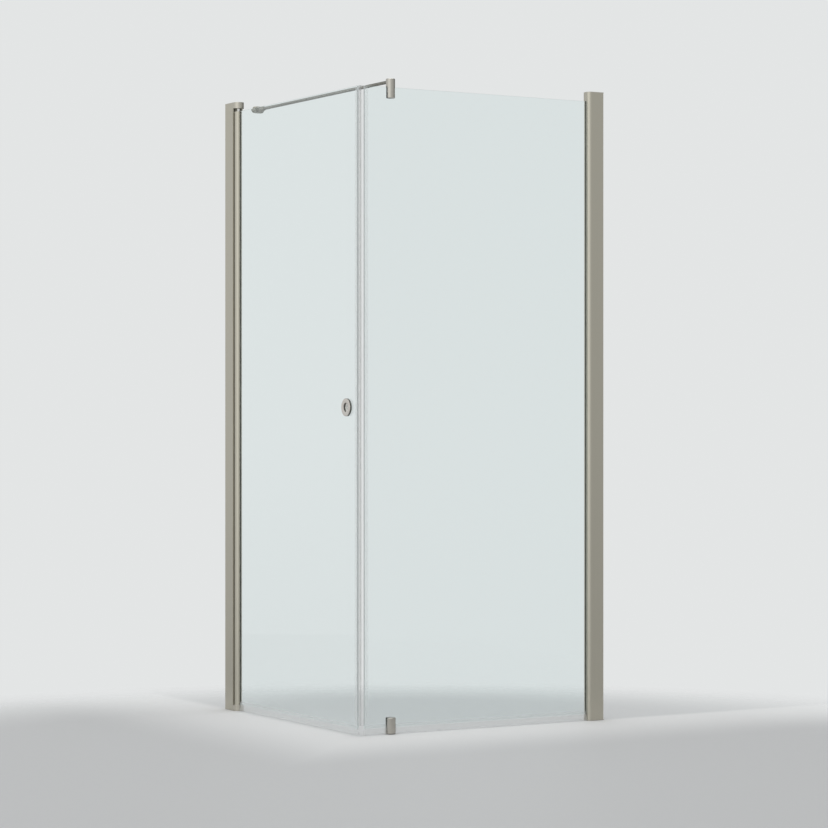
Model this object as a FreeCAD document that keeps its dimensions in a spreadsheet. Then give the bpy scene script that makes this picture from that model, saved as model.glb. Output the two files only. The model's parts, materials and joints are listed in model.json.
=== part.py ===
import FreeCAD, Part
import math
import os

import Sketcher

# Corner shower screen: a swinging glass door on the left wall and a fixed glass panel on the right wall.
# The door lies along X and faces -Y, the fixed panel lies along Y and faces +X, and Z is up.
# The origin is at the middle of the footprint, on the floor.

# Driving dimensions in millimetres: alias, value and meaning.
SIZES = (
    ("door_side", 880, "left wall to the middle of the fixed pane"),
    ("panel_side", 880, "right wall to the middle of the door pane"),
    ("overall_height", 2000, "floor to the top of the wall profiles"),
    ("glass_clear", 1, "hinge's bottom cap to the lower edge of both panes"),
    ("top_clear", 3.75, "hinge's top cap to the bush under it when the door is fully open"),
    ("glass_thick", 6, "thickness of both panes"),
    ("glass_ease", 0.05, "gap between the glass and the strips, gaskets and liners on it"),
    ("profile_width", 36, "outer width of a cover profile"),
    ("profile_wall", 2, "wall of a cover profile"),
    ("profile_standoff", 1, "wall to the back edge of a cover profile"),
    ("jaw_depth", 11, "cross web to the front of the jaws beside the hinge tube"),
    ("slot_depth", 11.5, "cross web to the nose of the fixed side's cover profile"),
    ("nose_lip", 1.8, "flat front on each side of the glass slot"),
    ("nose_skin", 3, "wall of the nose around its hollows"),
    ("web_room", 3, "gap between a channel's arms and the cross web"),
    ("web_depth", 9, "depth of the cross web of a cover profile"),
    ("web_hollow", 11, "width of the hollow in the cross web"),
    ("jaw_gap", 0.4, "half of what the jaws' opening is wider than the hinge tube"),
    ("channel_depth", 34, "depth of a wall channel"),
    ("channel_wall", 2, "arm thickness of a wall channel"),
    ("channel_base", 2.5, "base thickness of a wall channel"),
    ("slide_gap", 0.2, "gap between a channel's arms and its cover profile"),
    ("wall_hole", 6.5, "diameter of the wall screw holes"),
    ("wall_hole_end", 100, "each end of the screen to its nearest wall screw holes"),
    ("lock_back", 9, "tip of a channel's arms to the lock screws"),
    ("lock_end", 150, "each end of the screen to its nearest lock screws"),
    ("lock_shank", 3.4, "shank diameter of a lock screw"),
    ("lock_head", 7, "head diameter of a lock screw"),
    ("lock_head_high", 2.2, "head height of a lock screw"),
    ("screw_clearance", 0.2, "width by which a screw hole is larger than its shank"),
    ("cap_skin", 1, "plate of the end caps under a screw head"),
    ("cap_gap", 0.1, "gap around the tongues of the end caps"),
    ("top_cap_height", 20, "height of the hinge's top cap"),
    ("cam_cover", 3, "top of the ramps to the top of the hinge's bottom cap"),
    ("nose_wall", 2.2, "hinge tube to the tip of the hinge caps"),
    ("port_room", 2.8, "wall between a screw port and the hollow in the cross web"),
    ("port_bore", 3.4, "diameter of a screw port"),
    ("port_play", 0.1, "width by which a cap screw is thinner than its port"),
    ("cap_screw_head", 6.8, "head diameter of a cap screw"),
    ("cap_screw_cone", 2, "height of a cap screw's countersunk head"),
    ("cap_screw_length", 16, "length of a cap screw"),
    ("tube_sink", 7.8, "how far the hinge tube reaches between the jaws"),
    ("tube_wall", 6.4, "wall of the hinge tube"),
    ("bush_wall", 1.6, "hinge pins to the bore of the hinge tube"),
    ("slot_wall", 1.1, "bore of the hinge tube to the floor of the glass slot"),
    ("lip_depth", 9, "depth of the glass slot between the tube's lips"),
    ("lip_thick", 1.9, "thickness of a lip"),
    ("hinge_gasket", 0.9, "thickness of the hinge gasket beside the glass"),
    ("seal_gap", 0.3, "gap between the hinge tube and the strip behind it"),
    ("strip_back", 7.5, "how deep that strip is behind the jaws"),
    ("strip_overlap", 1.2, "how far the strip's back reaches behind each jaw"),
    ("hinge_play", 0.5, "gap between the turning tube and the bottom cap"),
    ("pin_round", 12, "diameter of the hinge pins"),
    ("flat_deep", 0.8, "depth of the flat on the top pin"),
    ("pin_cover", 6, "end of the top pin to the top of its cap"),
    ("pin_in_tube", 25, "length of each pin inside the tube"),
    ("pin_foot", 1, "floor to the foot of the bottom pin"),
    ("pin_seat", 0.02, "radial gap of a pin in its fixed seat"),
    ("running_gap", 0.05, "radial gap of a turning or sliding fit"),
    ("bush_length", 20, "length of the top bush inside the tube"),
    ("bush_rim", 1.2, "how far the top bush's flange reaches past the tube's bore"),
    ("bush_flange_thick", 1.5, "flange thickness of the top bush"),
    ("cam_floor", 3, "foot of the bottom pin to the underside of the lower cam"),
    ("socket_gap", 0.1, "radial gap around the cams in the bottom cap"),
    ("cam_base", 1.5, "thickness of the lower cam under its ramps"),
    ("cam_gap", 0.15, "gap between the ramps of the two cams"),
    ("cam_spigot", 15, "length of the upper cam's spigot inside the tube"),
    ("lift_pitch", 21, "rise of the ramps in one full turn"),
    ("edge_setback", 14, "corner of the screen to the free edge of each pane"),
    ("edge_clip", 12, "length of an edge strip's legs on the glass"),
    ("edge_leg", 1.2, "leg thickness of an edge strip"),
    ("meet_gap", 0.15, "gap from each edge strip to the mitre of the corner"),
    ("magnet_thick", 2.2, "thickness of an edge magnet"),
    ("magnet_skin", 0.8, "skin between an edge magnet and the mitre"),
    ("magnet_side", 0.8, "skin between an edge magnet and the sides of its strip"),
    ("drip_clip", 10, "height of a bottom strip's legs on the glass"),
    ("drip_leg", 1, "leg thickness of a bottom strip"),
    ("drip_web", 1.5, "thickness of a bottom strip under the glass"),
    ("drip_spread", 2.2, "how far a bottom strip's fins lean out"),
    ("door_drip_clear", 2.5, "floor to the fins of the door's bottom strip"),
    ("panel_drip_clear", 0.5, "floor to the fins of the fixed side's bottom strip"),
    ("strip_end_gap", 0.5, "gap at the ends of the strips"),
    ("panel_gasket", 1.2, "thickness of the fixed side's gaskets"),
    ("panel_edge_gap", 1, "floor of the fixed side's slot to the glass"),
    ("panel_block_gap", 1.5, "gap between the fixed side's end caps and the glass"),
    ("grip_from_edge", 60, "free edge of the door glass to the middle of the finger ring"),
    ("grip_rim", 11.2, "how far the outer ring covers the glass around its hole"),
    ("grip_nut", 3, "how far the inner ring covers the glass around its hole"),
    ("grip_bore", 27, "finger hole"),
    ("grip_sleeve_wall", 1.8, "wall of the sleeve through the glass"),
    ("grip_flange", 6, "thickness of the outer ring"),
    ("grip_back", 3, "thickness of the inner ring"),
    ("grip_edge", 1, "edge radius of each ring"),
    ("grip_washer", 0.5, "thickness of the washers under the rings"),
    ("grip_sleeve_gap", 1, "gap between the sleeve and the hole in the glass"),
    ("stay_offset", 106, "door pane to the stay bar and the floor clamp"),
    ("bar_under", 11.5, "slot of the stay clamp to the stay bar above it"),
    ("bar_round", 10, "diameter of the stay bar"),
    ("post_round", 28, "diameter of the stay clamp"),
    ("post_low", 33, "how far the stay clamp reaches down the glass"),
    ("post_cover", 3, "stay bar to the top of the stay clamp"),
    ("post_bevel", 1, "bevel of both clamps"),
    ("bar_past", 4, "how far the stay bar passes the middle of its clamp"),
    ("liner", 1.5, "thickness of the clamp liners"),
    ("liner_inset", 1, "how far the liners end inside the clamps"),
    ("grub", 5, "diameter of the grub screws"),
    ("grub_socket", 2.6, "socket width of the grub screws"),
    ("grub_socket_deep", 2, "socket depth of the grub screws"),
    ("foot_round", 32, "diameter of the floor clamp"),
    ("foot_jaw", 30, "how far the floor clamp reaches up the glass"),
    ("foot_pad", 1, "thickness of the pad under the floor clamp"),
    ("foot_bore", 6, "diameter of the floor stud hole"),
    ("foot_roof", 5.5, "floor stud hole to the slot above it"),
    ("foot_grub_down", 14, "top of the floor clamp to its grub screws"),
    ("foot_grub_span", 12, "spacing of the floor clamp's grub screws"),
    ("socket_wall", 3, "wall of the stay's wall collar"),
    ("collar_length", 46, "how far the wall collar stands out of the rosette"),
    ("collar_taper", 14, "length of the wall collar's tapered end"),
    ("collar_tip", 1, "wall of the wall collar at its tip"),
    ("plate_end", 5.8, "metal outside the wall plate's screw holes"),
    ("plate_rim", 1, "how far the wall plate passes the collar above and below"),
    ("socket_plate_thick", 3, "thickness of the stay's wall plate"),
    ("socket_hole", 4.4, "diameter of the wall plate's screw holes"),
    ("hole_room", 2.8, "collar to the wall plate's screw holes"),
    ("rosette_gap", 1.1, "gap between the wall plate and the rosette around it"),
    ("rosette_deep", 8, "depth of the rosette"),
    ("rosette_wall", 1.4, "wall of the rosette"),
)

# Half a turn of each ramp, with a few degrees more so that the steps between ramps don't rub.
RAMPS = 2
RAMP_SPARE = math.radians(2)
RAMP_POINTS = 25
RAMP_LINES = 4
# The cutters of the ramps reach a tenth past the rings.
RAMP_REACH = 1.1
# The door opens by a quarter of a turn.
OPEN_TURN = 0.25
MITRE = math.sqrt(0.5)
# Wall screws on each side.
WALL_HOLES = 4
# A drill starts one wall thickness before a wall and ends one after it.
DRILL = 3

doc = FreeCAD.newDocument("shower_screen")
sheet = doc.addObject("Spreadsheet::Sheet", "Sizes")


class Size:
    """A length from the sheet, or worked out from it, with the expression that binds a property to it."""

    def __init__(self, value, text):
        self.value = value
        self.text = text

    def __add__(self, other):
        other = as_size(other)
        return Size(self.value + other.value, f"({self.text} + {other.text})")

    def __sub__(self, other):
        other = as_size(other)
        return Size(self.value - other.value, f"({self.text} - {other.text})")

    def __rsub__(self, other):
        return as_size(other) - self

    def __mul__(self, other):
        other = as_size(other)
        return Size(self.value * other.value, f"({self.text} * {other.text})")

    def __truediv__(self, other):
        other = as_size(other)
        return Size(self.value / other.value, f"({self.text} / {other.text})")

    def __neg__(self):
        return 0 - self

    __radd__ = __add__
    __rmul__ = __mul__


def as_size(number):
    """A plain number as a size."""
    if isinstance(number, Size):
        return number
    return Size(float(number), repr(float(number)))


def root(size):
    """The square root of a size."""
    return Size(math.sqrt(size.value), f"sqrt({size.text})")


class Sizes:
    """The driving dimensions by name."""


S = Sizes()
for row, (alias, number, meaning) in enumerate(SIZES, start=1):
    sheet.set(f"A{row}", meaning)
    sheet.set(f"B{row}", str(number))
    sheet.setAlias(f"B{row}", alias)
    setattr(S, alias, Size(float(number), f"Sizes.{alias}"))
doc.recompute()

# Widths and depths that several pieces share.
half_width = S.profile_width / 2
inner_width = half_width - S.profile_wall
half_glass = S.glass_thick / 2
half_seat = half_glass + S.glass_ease
panel_slot = half_glass + S.panel_gasket
nose_round = half_width - panel_slot - S.nose_lip
web_start = S.channel_depth + S.web_room
web_end = web_start + S.web_depth
port_from_wall = web_start + S.web_depth / 2
port_span = S.web_hollow + 2 * S.port_room + S.port_bore
cap_plate = S.cap_screw_cone + S.cap_skin
pin_radius = S.pin_round / 2
tube_bore = S.pin_round + 2 * S.bush_wall
tube_round = tube_bore + 2 * S.tube_wall
tube_radius = tube_round / 2
tube_slot = tube_bore / 2 + S.slot_wall
lip_reach = tube_slot + S.lip_depth
glass_from_axis = tube_slot + S.hinge_gasket
jaw_half = tube_radius + S.jaw_gap
jaw_front = web_end + S.jaw_depth
hinge_ahead = tube_radius - S.tube_sink
hinge_from_wall = jaw_front + hinge_ahead
panel_depth = web_end + S.slot_depth
grip_sleeve = S.grip_bore + 2 * S.grip_sleeve_wall
grip_hole = grip_sleeve + 2 * S.grip_sleeve_gap
grip_round = grip_hole + 2 * S.grip_rim
socket_round = S.bar_round + 2 * S.socket_wall
hole_span = socket_round + S.socket_hole + 2 * S.hole_room
plate_long = hole_span + S.socket_hole + 2 * S.plate_end
plate_wide = socket_round + 2 * S.plate_rim

# Heights that several pieces share, from the floor.
profile_length = S.overall_height - 2 * cap_plate
mid_height = S.overall_height / 2
cam_low = S.pin_foot + S.cam_floor
ramp_low = cam_low + S.cam_base
ramp_high = ramp_low + S.lift_pitch / RAMPS
bottom_cap_high = ramp_high + S.cam_cover
tube_low = bottom_cap_high + S.hinge_play
glass_low = bottom_cap_high + S.glass_clear
cap_low = S.overall_height - S.top_cap_height
tube_high = cap_low - S.top_clear - S.lift_pitch * OPEN_TURN - S.bush_flange_thick
glass_top = tube_high + S.hinge_play
glass_height = glass_top - glass_low
bar_z = glass_top + S.liner + S.bar_under + S.bar_round / 2
grip_z = glass_low + glass_height / 2

# Places on the floor.
half_x = (S.door_side + half_width) / 2
half_y = (S.panel_side + half_width) / 2
wall_x = -half_x
panel_x = half_x - half_width
wall_y = half_y
door_y = half_width - half_y
stay_y = door_y + S.stay_offset
grip_x = panel_x - S.edge_setback - S.grip_from_edge

TURNS = {
    "X": FreeCAD.Rotation(FreeCAD.Vector(0, 1, 0), 90),
    "-X": FreeCAD.Rotation(FreeCAD.Vector(0, 1, 0), -90),
    "Y": FreeCAD.Rotation(FreeCAD.Vector(1, 0, 0), -90),
    "-Y": FreeCAD.Rotation(FreeCAD.Vector(1, 0, 0), 90),
    "Z": FreeCAD.Rotation(),
    "-Z": FreeCAD.Rotation(FreeCAD.Vector(1, 0, 0), 180),
}


class Side:
    """One side of the screen: a place u out from its wall and v inwards from its pane."""

    def __init__(self, name, along, across, place):
        self.name = name
        self.along = along
        self.across = across
        self.place = place


door_side = Side("door", "X", "Y", lambda u, v: (wall_x + u, door_y + v))
panel_side = Side("panel", "-Y", "-X", lambda u, v: (panel_x - v, wall_y - u))
hinge_x, hinge_y = door_side.place(hinge_from_wall, 0)

nodes = {}


def node(label, piece):
    """Give a finished piece its label and list it."""
    piece.Label = label
    nodes[label] = piece
    return piece


def bind(piece, prop, size):
    """Bind a property to the sheet."""
    piece.setExpression(prop, as_size(size).text)


def move(piece, place, turn="Z"):
    """Turn a piece and bind its place to the sheet."""
    piece.Placement = FreeCAD.Placement(FreeCAD.Vector(), TURNS[turn])
    for axis, size in zip("xyz", place):
        bind(piece, f"Placement.Base.{axis}", size)


def rod(name, diameter, length, place, turn="Z"):
    """A round bar that starts at a place and runs along an axis."""
    piece = doc.addObject("Part::Cylinder", name)
    bind(piece, "Radius", diameter / 2)
    bind(piece, "Height", length)
    move(piece, place, turn)
    return piece


def taper(name, start, end, length, place, turn="Z"):
    """A cone from one diameter to another."""
    piece = doc.addObject("Part::Cone", name)
    bind(piece, "Radius1", start / 2)
    bind(piece, "Radius2", end / 2)
    bind(piece, "Height", length)
    move(piece, place, turn)
    return piece


def block(name, lengths, place):
    """A box from its lowest corner."""
    piece = doc.addObject("Part::Box", name)
    for prop, size in zip(("Length", "Width", "Height"), lengths):
        bind(piece, prop, size)
    move(piece, place)
    return piece


def fuse(name, pieces):
    """Several solids made one."""
    piece = doc.addObject("Part::MultiFuse", name)
    piece.Shapes = pieces
    piece.Refine = True
    return piece


def cut(name, base, tools):
    """A solid less one or more tools."""
    piece = doc.addObject("Part::Cut", name)
    piece.Base = base
    piece.Tool = tools[0] if len(tools) == 1 else fuse(f"{name}_tools", tools)
    return piece


def group(name, pieces):
    """Like pieces that stay separate solids in one node."""
    piece = doc.addObject("Part::Compound", name)
    piece.Links = pieces
    return piece


def vector(corner):
    """A sketch point from the first two sizes of a corner."""
    return FreeCAD.Vector(as_size(corner[0]).value, as_size(corner[1]).value, 0)


def arc_between(start, middle, end):
    """An arc through three points, and whether it runs counterclockwise from start to end."""
    circle = Part.Circle(start, middle, end)
    turn = (middle - start).cross(end - middle).z
    first, last = (start, end) if turn > 0 else (end, start)
    centre = circle.Center
    angles = [math.atan2(p.y - centre.y, p.x - centre.x) for p in (first, last)]
    if angles[1] <= angles[0]:
        angles[1] += 2 * math.pi
    upright = Part.Circle(centre, FreeCAD.Vector(0, 0, 1), circle.Radius)
    return Part.ArcOfCircle(upright, angles[0], angles[1]), turn > 0


def constrain(sketch, kind, elements, size):
    """Add a dimension to a sketch and bind it to the sheet."""
    size = as_size(size)
    index = sketch.addConstraint(Sketcher.Constraint(kind, *elements, size.value))
    sketch.setExpression(f"Constraints[{index}]", size.text)


def draw_outline(sketch, corners):
    """A closed outline. A corner is (x, y), or (x, y, radius, point) where an arc through point leaves it."""
    lines = []
    for number, corner in enumerate(corners):
        start = vector(corner)
        end = vector(corners[(number + 1) % len(corners)])
        if len(corner) == 2:
            index = sketch.addGeometry(Part.LineSegment(start, end), False)
            lines.append((index, 1, 2))
        else:
            arc, forward = arc_between(start, vector(corner[3]), end)
            index = sketch.addGeometry(arc, False)
            lines.append((index, 1, 2) if forward else (index, 2, 1))
    for number, (index, _, last) in enumerate(lines):
        follower, follower_first, _ = lines[(number + 1) % len(lines)]
        sketch.addConstraint(Sketcher.Constraint("Coincident", index, last, follower, follower_first))
    for corner, (index, first, _) in zip(corners, lines):
        constrain(sketch, "DistanceX", (-1, 1, index, first), corner[0])
        constrain(sketch, "DistanceY", (-1, 1, index, first), corner[1])
        if len(corner) > 2:
            constrain(sketch, "Radius", (index,), corner[2])


def draw_circle(sketch, x, y, diameter):
    """A full circle."""
    centre = vector((x, y))
    circle = Part.Circle(centre, FreeCAD.Vector(0, 0, 1), as_size(diameter / 2).value)
    index = sketch.addGeometry(circle, False)
    constrain(sketch, "DistanceX", (-1, 1, index, 3), x)
    constrain(sketch, "DistanceY", (-1, 1, index, 3), y)
    constrain(sketch, "Diameter", (index,), diameter)


def new_sketch(body, name, plane, outlines, circles=()):
    """A sketch on one of the body's own planes."""
    sketch = body.newObject("Sketcher::SketchObject", name)
    own_plane = next(f for f in body.Origin.OriginFeatures if f.Role == plane)
    sketch.AttachmentSupport = [(own_plane, "")]
    sketch.MapMode = "FlatFace"
    for corners in outlines:
        draw_outline(sketch, corners)
    for circle in circles:
        draw_circle(sketch, *circle)
    return sketch


def pad(body, name, sketch, length, down=False):
    """A straight extrusion of a sketch."""
    feature = body.newObject("PartDesign::Pad", name)
    feature.Profile = sketch
    bind(feature, "Length", length)
    feature.Reversed = down
    return feature


def extrude(name, outlines, length, place, circles=(), plane="XY_Plane", down=False):
    """A profile cut to length."""
    body = doc.addObject("PartDesign::Body", name)
    sketch = new_sketch(body, f"{name}_profile", plane, outlines, circles)
    pad(body, f"{name}_pad", sketch, length, down)
    move(body, place)
    return body


def revolve(name, corners, place, turn="Z"):
    """A profile of radius and height turned about its own axis."""
    body = doc.addObject("PartDesign::Body", name)
    sketch = new_sketch(body, f"{name}_profile", "XZ_Plane", [corners])
    feature = body.newObject("PartDesign::Revolution", f"{name}_turned")
    feature.Profile = sketch
    feature.ReferenceAxis = (sketch, ["V_Axis"])
    feature.Angle = 360
    move(body, place, turn)
    return body


def on_side(side, corners):
    """Corners of a profile given as u and v, put on one side of the screen."""
    placed = []
    for corner in corners:
        spot = side.place(corner[0], corner[1])
        if len(corner) > 2:
            spot = spot + (corner[2], side.place(*corner[3]))
        placed.append(spot)
    return placed


def rectangle(u0, u1, v0, v1):
    """Corners of a rectangle."""
    return [(u0, v0), (u1, v0), (u1, v1), (u0, v1)]


def quarter(u, v, radius, centre_u, centre_v, out_u, out_v):
    """A corner that a quarter arc leaves. out_u and out_v point from the arc's centre to its middle."""
    return (u, v, radius, (centre_u + out_u * MITRE * radius, centre_v + out_v * MITRE * radius))


# Heights of the screws that run across a profile.
lock_heights = [S.lock_end, mid_height, S.overall_height - S.lock_end]
hole_step = (S.overall_height - 2 * S.wall_hole_end) / (WALL_HOLES - 1)
wall_heights = [S.wall_hole_end + step * hole_step for step in range(WALL_HOLES)]


def lock_rods(side, name, diameter, v, length):
    """Round bars across a profile where its lock screws sit."""
    x, y = side.place(S.channel_depth - S.lock_back, v)
    return [rod(f"{name}_{i}", diameter, length, (x, y, z), side.across) for i, z in enumerate(lock_heights)]


def make_channel(side):
    """U channel on the wall, with four wall screw holes and three lock screw holes in its inner arm."""
    name = f"{side.name}_wall_channel"
    outer = inner_width - S.slide_gap
    inner = outer - S.channel_wall
    corners = [
        (0, -outer), (S.channel_depth, -outer), (S.channel_depth, -inner), (S.channel_base, -inner),
        (S.channel_base, inner), (S.channel_depth, inner), (S.channel_depth, outer), (0, outer),
    ]
    x, y = side.place(-S.channel_base, 0)
    blank = extrude(f"{name}_blank", [on_side(side, corners)], profile_length, (0, 0, cap_plate))
    holes = [
        rod(f"{name}_hole_{i}", S.wall_hole, DRILL * S.channel_base, (x, y, z), side.along)
        for i, z in enumerate(wall_heights)
    ]
    holes += lock_rods(side, f"{name}_lock", S.lock_shank + S.screw_clearance, inner - S.channel_wall,
                       DRILL * S.channel_wall)
    node(name, cut(name, blank, holes))


def ports(side):
    """The two screw ports in the web of a cover profile."""
    return [side.place(port_from_wall, step * port_span / 2) + (S.port_bore,) for step in (-1, 1)]


def web_void(side):
    """The hollow in the web of a cover profile."""
    half = S.web_hollow / 2
    return on_side(side, rectangle(web_start + S.profile_wall, web_end - S.profile_wall, -half, half))


def finish_cover(side, outlines):
    """Extrude a cover profile and drill its lock screw holes from the inner side."""
    name = f"{side.name}_cover_profile"
    outlines = outlines + [web_void(side)]
    blank = extrude(f"{name}_blank", outlines, profile_length, (0, 0, cap_plate), ports(side))
    holes = lock_rods(side, f"{name}_lock", S.lock_shank + S.screw_clearance, inner_width - S.profile_wall,
                      DRILL * S.profile_wall)
    node(name, cut(name, blank, holes))


def back_of_cover():
    """The part of a cover profile that slides over its channel, from the inner side to the outer side."""
    return [
        (S.profile_standoff, half_width), (S.profile_standoff, inner_width), (web_start, inner_width),
        (web_start, -inner_width), (S.profile_standoff, -inner_width), (S.profile_standoff, -half_width),
    ]


def make_door_cover():
    """Cover profile of the door side, with two jaws beside the hinge tube."""
    front = jaw_front
    behind = front - S.profile_wall
    gap = jaw_half
    corners = back_of_cover() + [
        (front, -half_width), (front, -gap), (behind, -gap), (behind, -inner_width), (web_end, -inner_width),
        (web_end, inner_width), (behind, inner_width), (behind, gap), (front, gap), (front, half_width),
    ]
    finish_cover(door_side, [on_side(door_side, corners)])


def nose_corners():
    """The rounded front of the fixed side's profile, in two halves: outer corner, inner corner."""
    start = panel_depth - nose_round
    flat = half_width - nose_round
    outer = [quarter(start, -half_width, nose_round, start, -flat, 1, -1), (panel_depth, -flat)]
    inner = [quarter(panel_depth, flat, nose_round, start, flat, 1, 1), (start, half_width)]
    return outer, inner


def make_panel_cover():
    """Cover profile of the fixed side, with a rounded nose, a glass slot and two hollows beside it."""
    outer, inner = nose_corners()
    front = panel_depth
    corners = back_of_cover() + outer
    corners += [(front, -panel_slot), (web_end, -panel_slot), (web_end, panel_slot), (front, panel_slot)]
    corners += inner
    near = panel_slot + S.profile_wall
    back = web_end + S.profile_wall
    hollow = [(back, near), (front - S.nose_skin, near), (back, half_width - S.nose_skin)]
    mirrored = [(u, -v) for u, v in reversed(hollow)]
    finish_cover(panel_side, [on_side(panel_side, c) for c in (corners, hollow, mirrored)])


def make_hinge_strip():
    """Soft strip that closes the opening behind the hinge tube, hollowed to clear it."""
    front = jaw_front
    behind = front - S.profile_wall
    back = behind - S.strip_back
    gap = jaw_half
    wide = gap + S.strip_overlap
    radius = tube_radius + S.seal_gap
    edge = root(radius * radius - hinge_ahead * hinge_ahead)
    corners = [
        (back, -wide), (behind, -wide), (behind, -gap), (front, -gap),
        (front, -edge, radius, (hinge_from_wall - radius, 0)), (front, edge), (front, gap), (behind, gap),
        (behind, wide), (back, wide),
    ]
    low = bottom_cap_high + S.strip_end_gap
    strip = extrude("hinge_seal_strip", [on_side(door_side, corners)], tube_high - low, (0, 0, low))
    node("hinge_seal_strip", strip)


def hinge_nose():
    """Half round front of the hinge caps."""
    start = hinge_from_wall + tube_radius + S.nose_wall - half_width
    tip = start + half_width
    return [quarter(start, -half_width, half_width, start, 0, 1, -1),
            quarter(tip, 0, half_width, start, 0, 1, 1), (start, half_width)]


def cap_holes(side, name, level, turn):
    """Countersunk holes over the two screw ports."""
    holes = []
    for i, (x, y, _) in enumerate(ports(side)):
        wide = S.port_bore + S.screw_clearance
        head = S.cap_screw_head + S.screw_clearance
        holes.append(rod(f"{name}_hole_{i}", wide, cap_plate, (x, y, level), turn))
        holes.append(taper(f"{name}_sink_{i}", head, wide, S.cap_screw_cone, (x, y, level), turn))
    return holes


def make_hinge_cap(name, level, height, down, tools):
    """End cap of the door side: plate, tongue inside the profile and half round nose for the pin."""
    behind = jaw_front - S.profile_wall - S.cap_gap
    front = jaw_front + S.cap_gap
    back = web_end + S.cap_gap
    wide = inner_width - S.cap_gap
    gap = jaw_half - S.cap_gap
    plate = [(0, -half_width)] + hinge_nose() + [(0, half_width)]
    tongue = [(back, -wide), (behind, -wide), (behind, -gap), (front, -gap), (front, -half_width)]
    tongue += hinge_nose()
    tongue += [(front, half_width), (front, gap), (behind, gap), (behind, wide), (back, wide)]
    body = extrude(f"{name}_blank", [on_side(door_side, plate)], cap_plate, (0, 0, level), down=down)
    sketch = new_sketch(body, f"{name}_tongue", "XY_Plane", [on_side(door_side, tongue)])
    pad(body, f"{name}_tongue_pad", sketch, height, down)
    holes = cap_holes(door_side, name, level, "-Z" if down else "Z")
    node(name, cut(name, body, holes + tools))


def make_hinge_caps():
    """Top cap with the pin hole, bottom cap with the pin hole and the socket of the lift cams."""
    seat = S.pin_round + 2 * S.pin_seat
    pin_hole = rod("hinge_top_cap_seat", seat, S.top_cap_height - S.pin_cover, (hinge_x, hinge_y, cap_low))
    make_hinge_cap("hinge_top_cap", S.overall_height, S.top_cap_height, True, [pin_hole])
    foot_hole = rod("hinge_bottom_cap_seat", seat, bottom_cap_high, (hinge_x, hinge_y, S.pin_foot))
    socket = rod("hinge_bottom_cap_socket", tube_round + 2 * S.socket_gap, bottom_cap_high,
                 (hinge_x, hinge_y, cam_low))
    make_hinge_cap("hinge_bottom_cap", as_size(0), bottom_cap_high, False, [foot_hole, socket])


def make_panel_caps():
    """End caps of the fixed side: plate and a block that fills the slot above or below the glass."""
    outer, inner = nose_corners()
    plate = [(0, -half_width)] + outer + inner + [(0, half_width)]
    side = panel_slot - S.cap_gap
    filler = rectangle(web_end + S.cap_gap, panel_depth, -side, side)
    low = glass_low - S.panel_block_gap
    high = S.overall_height - glass_top - S.panel_block_gap
    for name, level, height, down in (
        ("panel_top_cap", S.overall_height, high, True),
        ("panel_bottom_cap", as_size(0), low, False),
    ):
        body = extrude(f"{name}_blank", [on_side(panel_side, plate)], cap_plate, (0, 0, level), down=down)
        sketch = new_sketch(body, f"{name}_filler", "XY_Plane", [on_side(panel_side, filler)])
        pad(body, f"{name}_filler_pad", sketch, height, down)
        node(name, cut(name, body, cap_holes(panel_side, name, level, "-Z" if down else "Z")))


def make_pins():
    """Top pin with a flat that keeps its bush from turning, and the bottom pin."""
    low = tube_high - S.pin_in_tube
    high = S.overall_height - S.pin_cover
    blank = rod("hinge_top_pin_blank", S.pin_round, high - low, (hinge_x, hinge_y, low))
    flat = block("hinge_top_pin_flat", (S.pin_round, pin_radius, cap_low - low),
                 (hinge_x - pin_radius, hinge_y + pin_radius - S.flat_deep, low))
    node("hinge_top_pin", cut("hinge_top_pin", blank, [flat]))
    foot = rod("hinge_bottom_pin", S.pin_round, tube_low + S.pin_in_tube - S.pin_foot,
               (hinge_x, hinge_y, S.pin_foot))
    node("hinge_bottom_pin", foot)


def make_top_bush():
    """Flanged bush in the top of the tube, with a flat in its bore that slides on the pin's flat."""
    low = tube_high - S.bush_length
    high = S.bush_length + S.bush_flange_thick
    stem = rod("hinge_top_bush_stem", tube_bore - 2 * S.running_gap, high, (hinge_x, hinge_y, low))
    flange = rod("hinge_top_bush_flange", tube_bore + 2 * S.bush_rim, S.bush_flange_thick,
                 (hinge_x, hinge_y, tube_high))
    bore_round = S.pin_round + 2 * S.running_gap
    bore = rod("hinge_top_bush_bore", bore_round, high, (hinge_x, hinge_y, low))
    key = block("hinge_top_bush_key", (bore_round, pin_radius, high),
                (hinge_x - bore_round / 2, hinge_y + pin_radius - S.flat_deep + S.running_gap, low))
    solid = fuse("hinge_top_bush_solid", [stem, flange])
    node("hinge_top_bush", cut("hinge_top_bush", solid, [cut("hinge_top_bush_keyed_bore", bore, [key])]))


def ramp_point(level, radius, turn, start):
    """A point on a left hand helicoid that leaves its level at a start angle and climbs as it turns."""
    height = level + S.lift_pitch.value * turn / (2 * math.pi)
    return FreeCAD.Vector(radius * math.cos(start + turn), -radius * math.sin(start + turn), height)


def ramp_cutters(level, height):
    """Solids bounded by a helicoid, one for each ramp, that reach from it by a height up or down."""
    inner = pin_radius.value / 2
    outer = tube_radius.value * RAMP_REACH
    radii = [inner + (outer - inner) * line / (RAMP_LINES - 1) for line in range(RAMP_LINES)]
    sweep = 2 * math.pi / RAMPS + RAMP_SPARE
    turns = [sweep * point / (RAMP_POINTS - 1) - RAMP_SPARE for point in range(RAMP_POINTS)]
    cutters = []
    for number in range(RAMPS):
        start = 2 * math.pi * number / RAMPS
        ramp = Part.BSplineSurface()
        ramp.interpolate([[ramp_point(level, radius, turn, start) for radius in radii] for turn in turns])
        cutters.append(ramp.toShape().extrude(FreeCAD.Vector(0, 0, height)))
    return cutters


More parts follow.
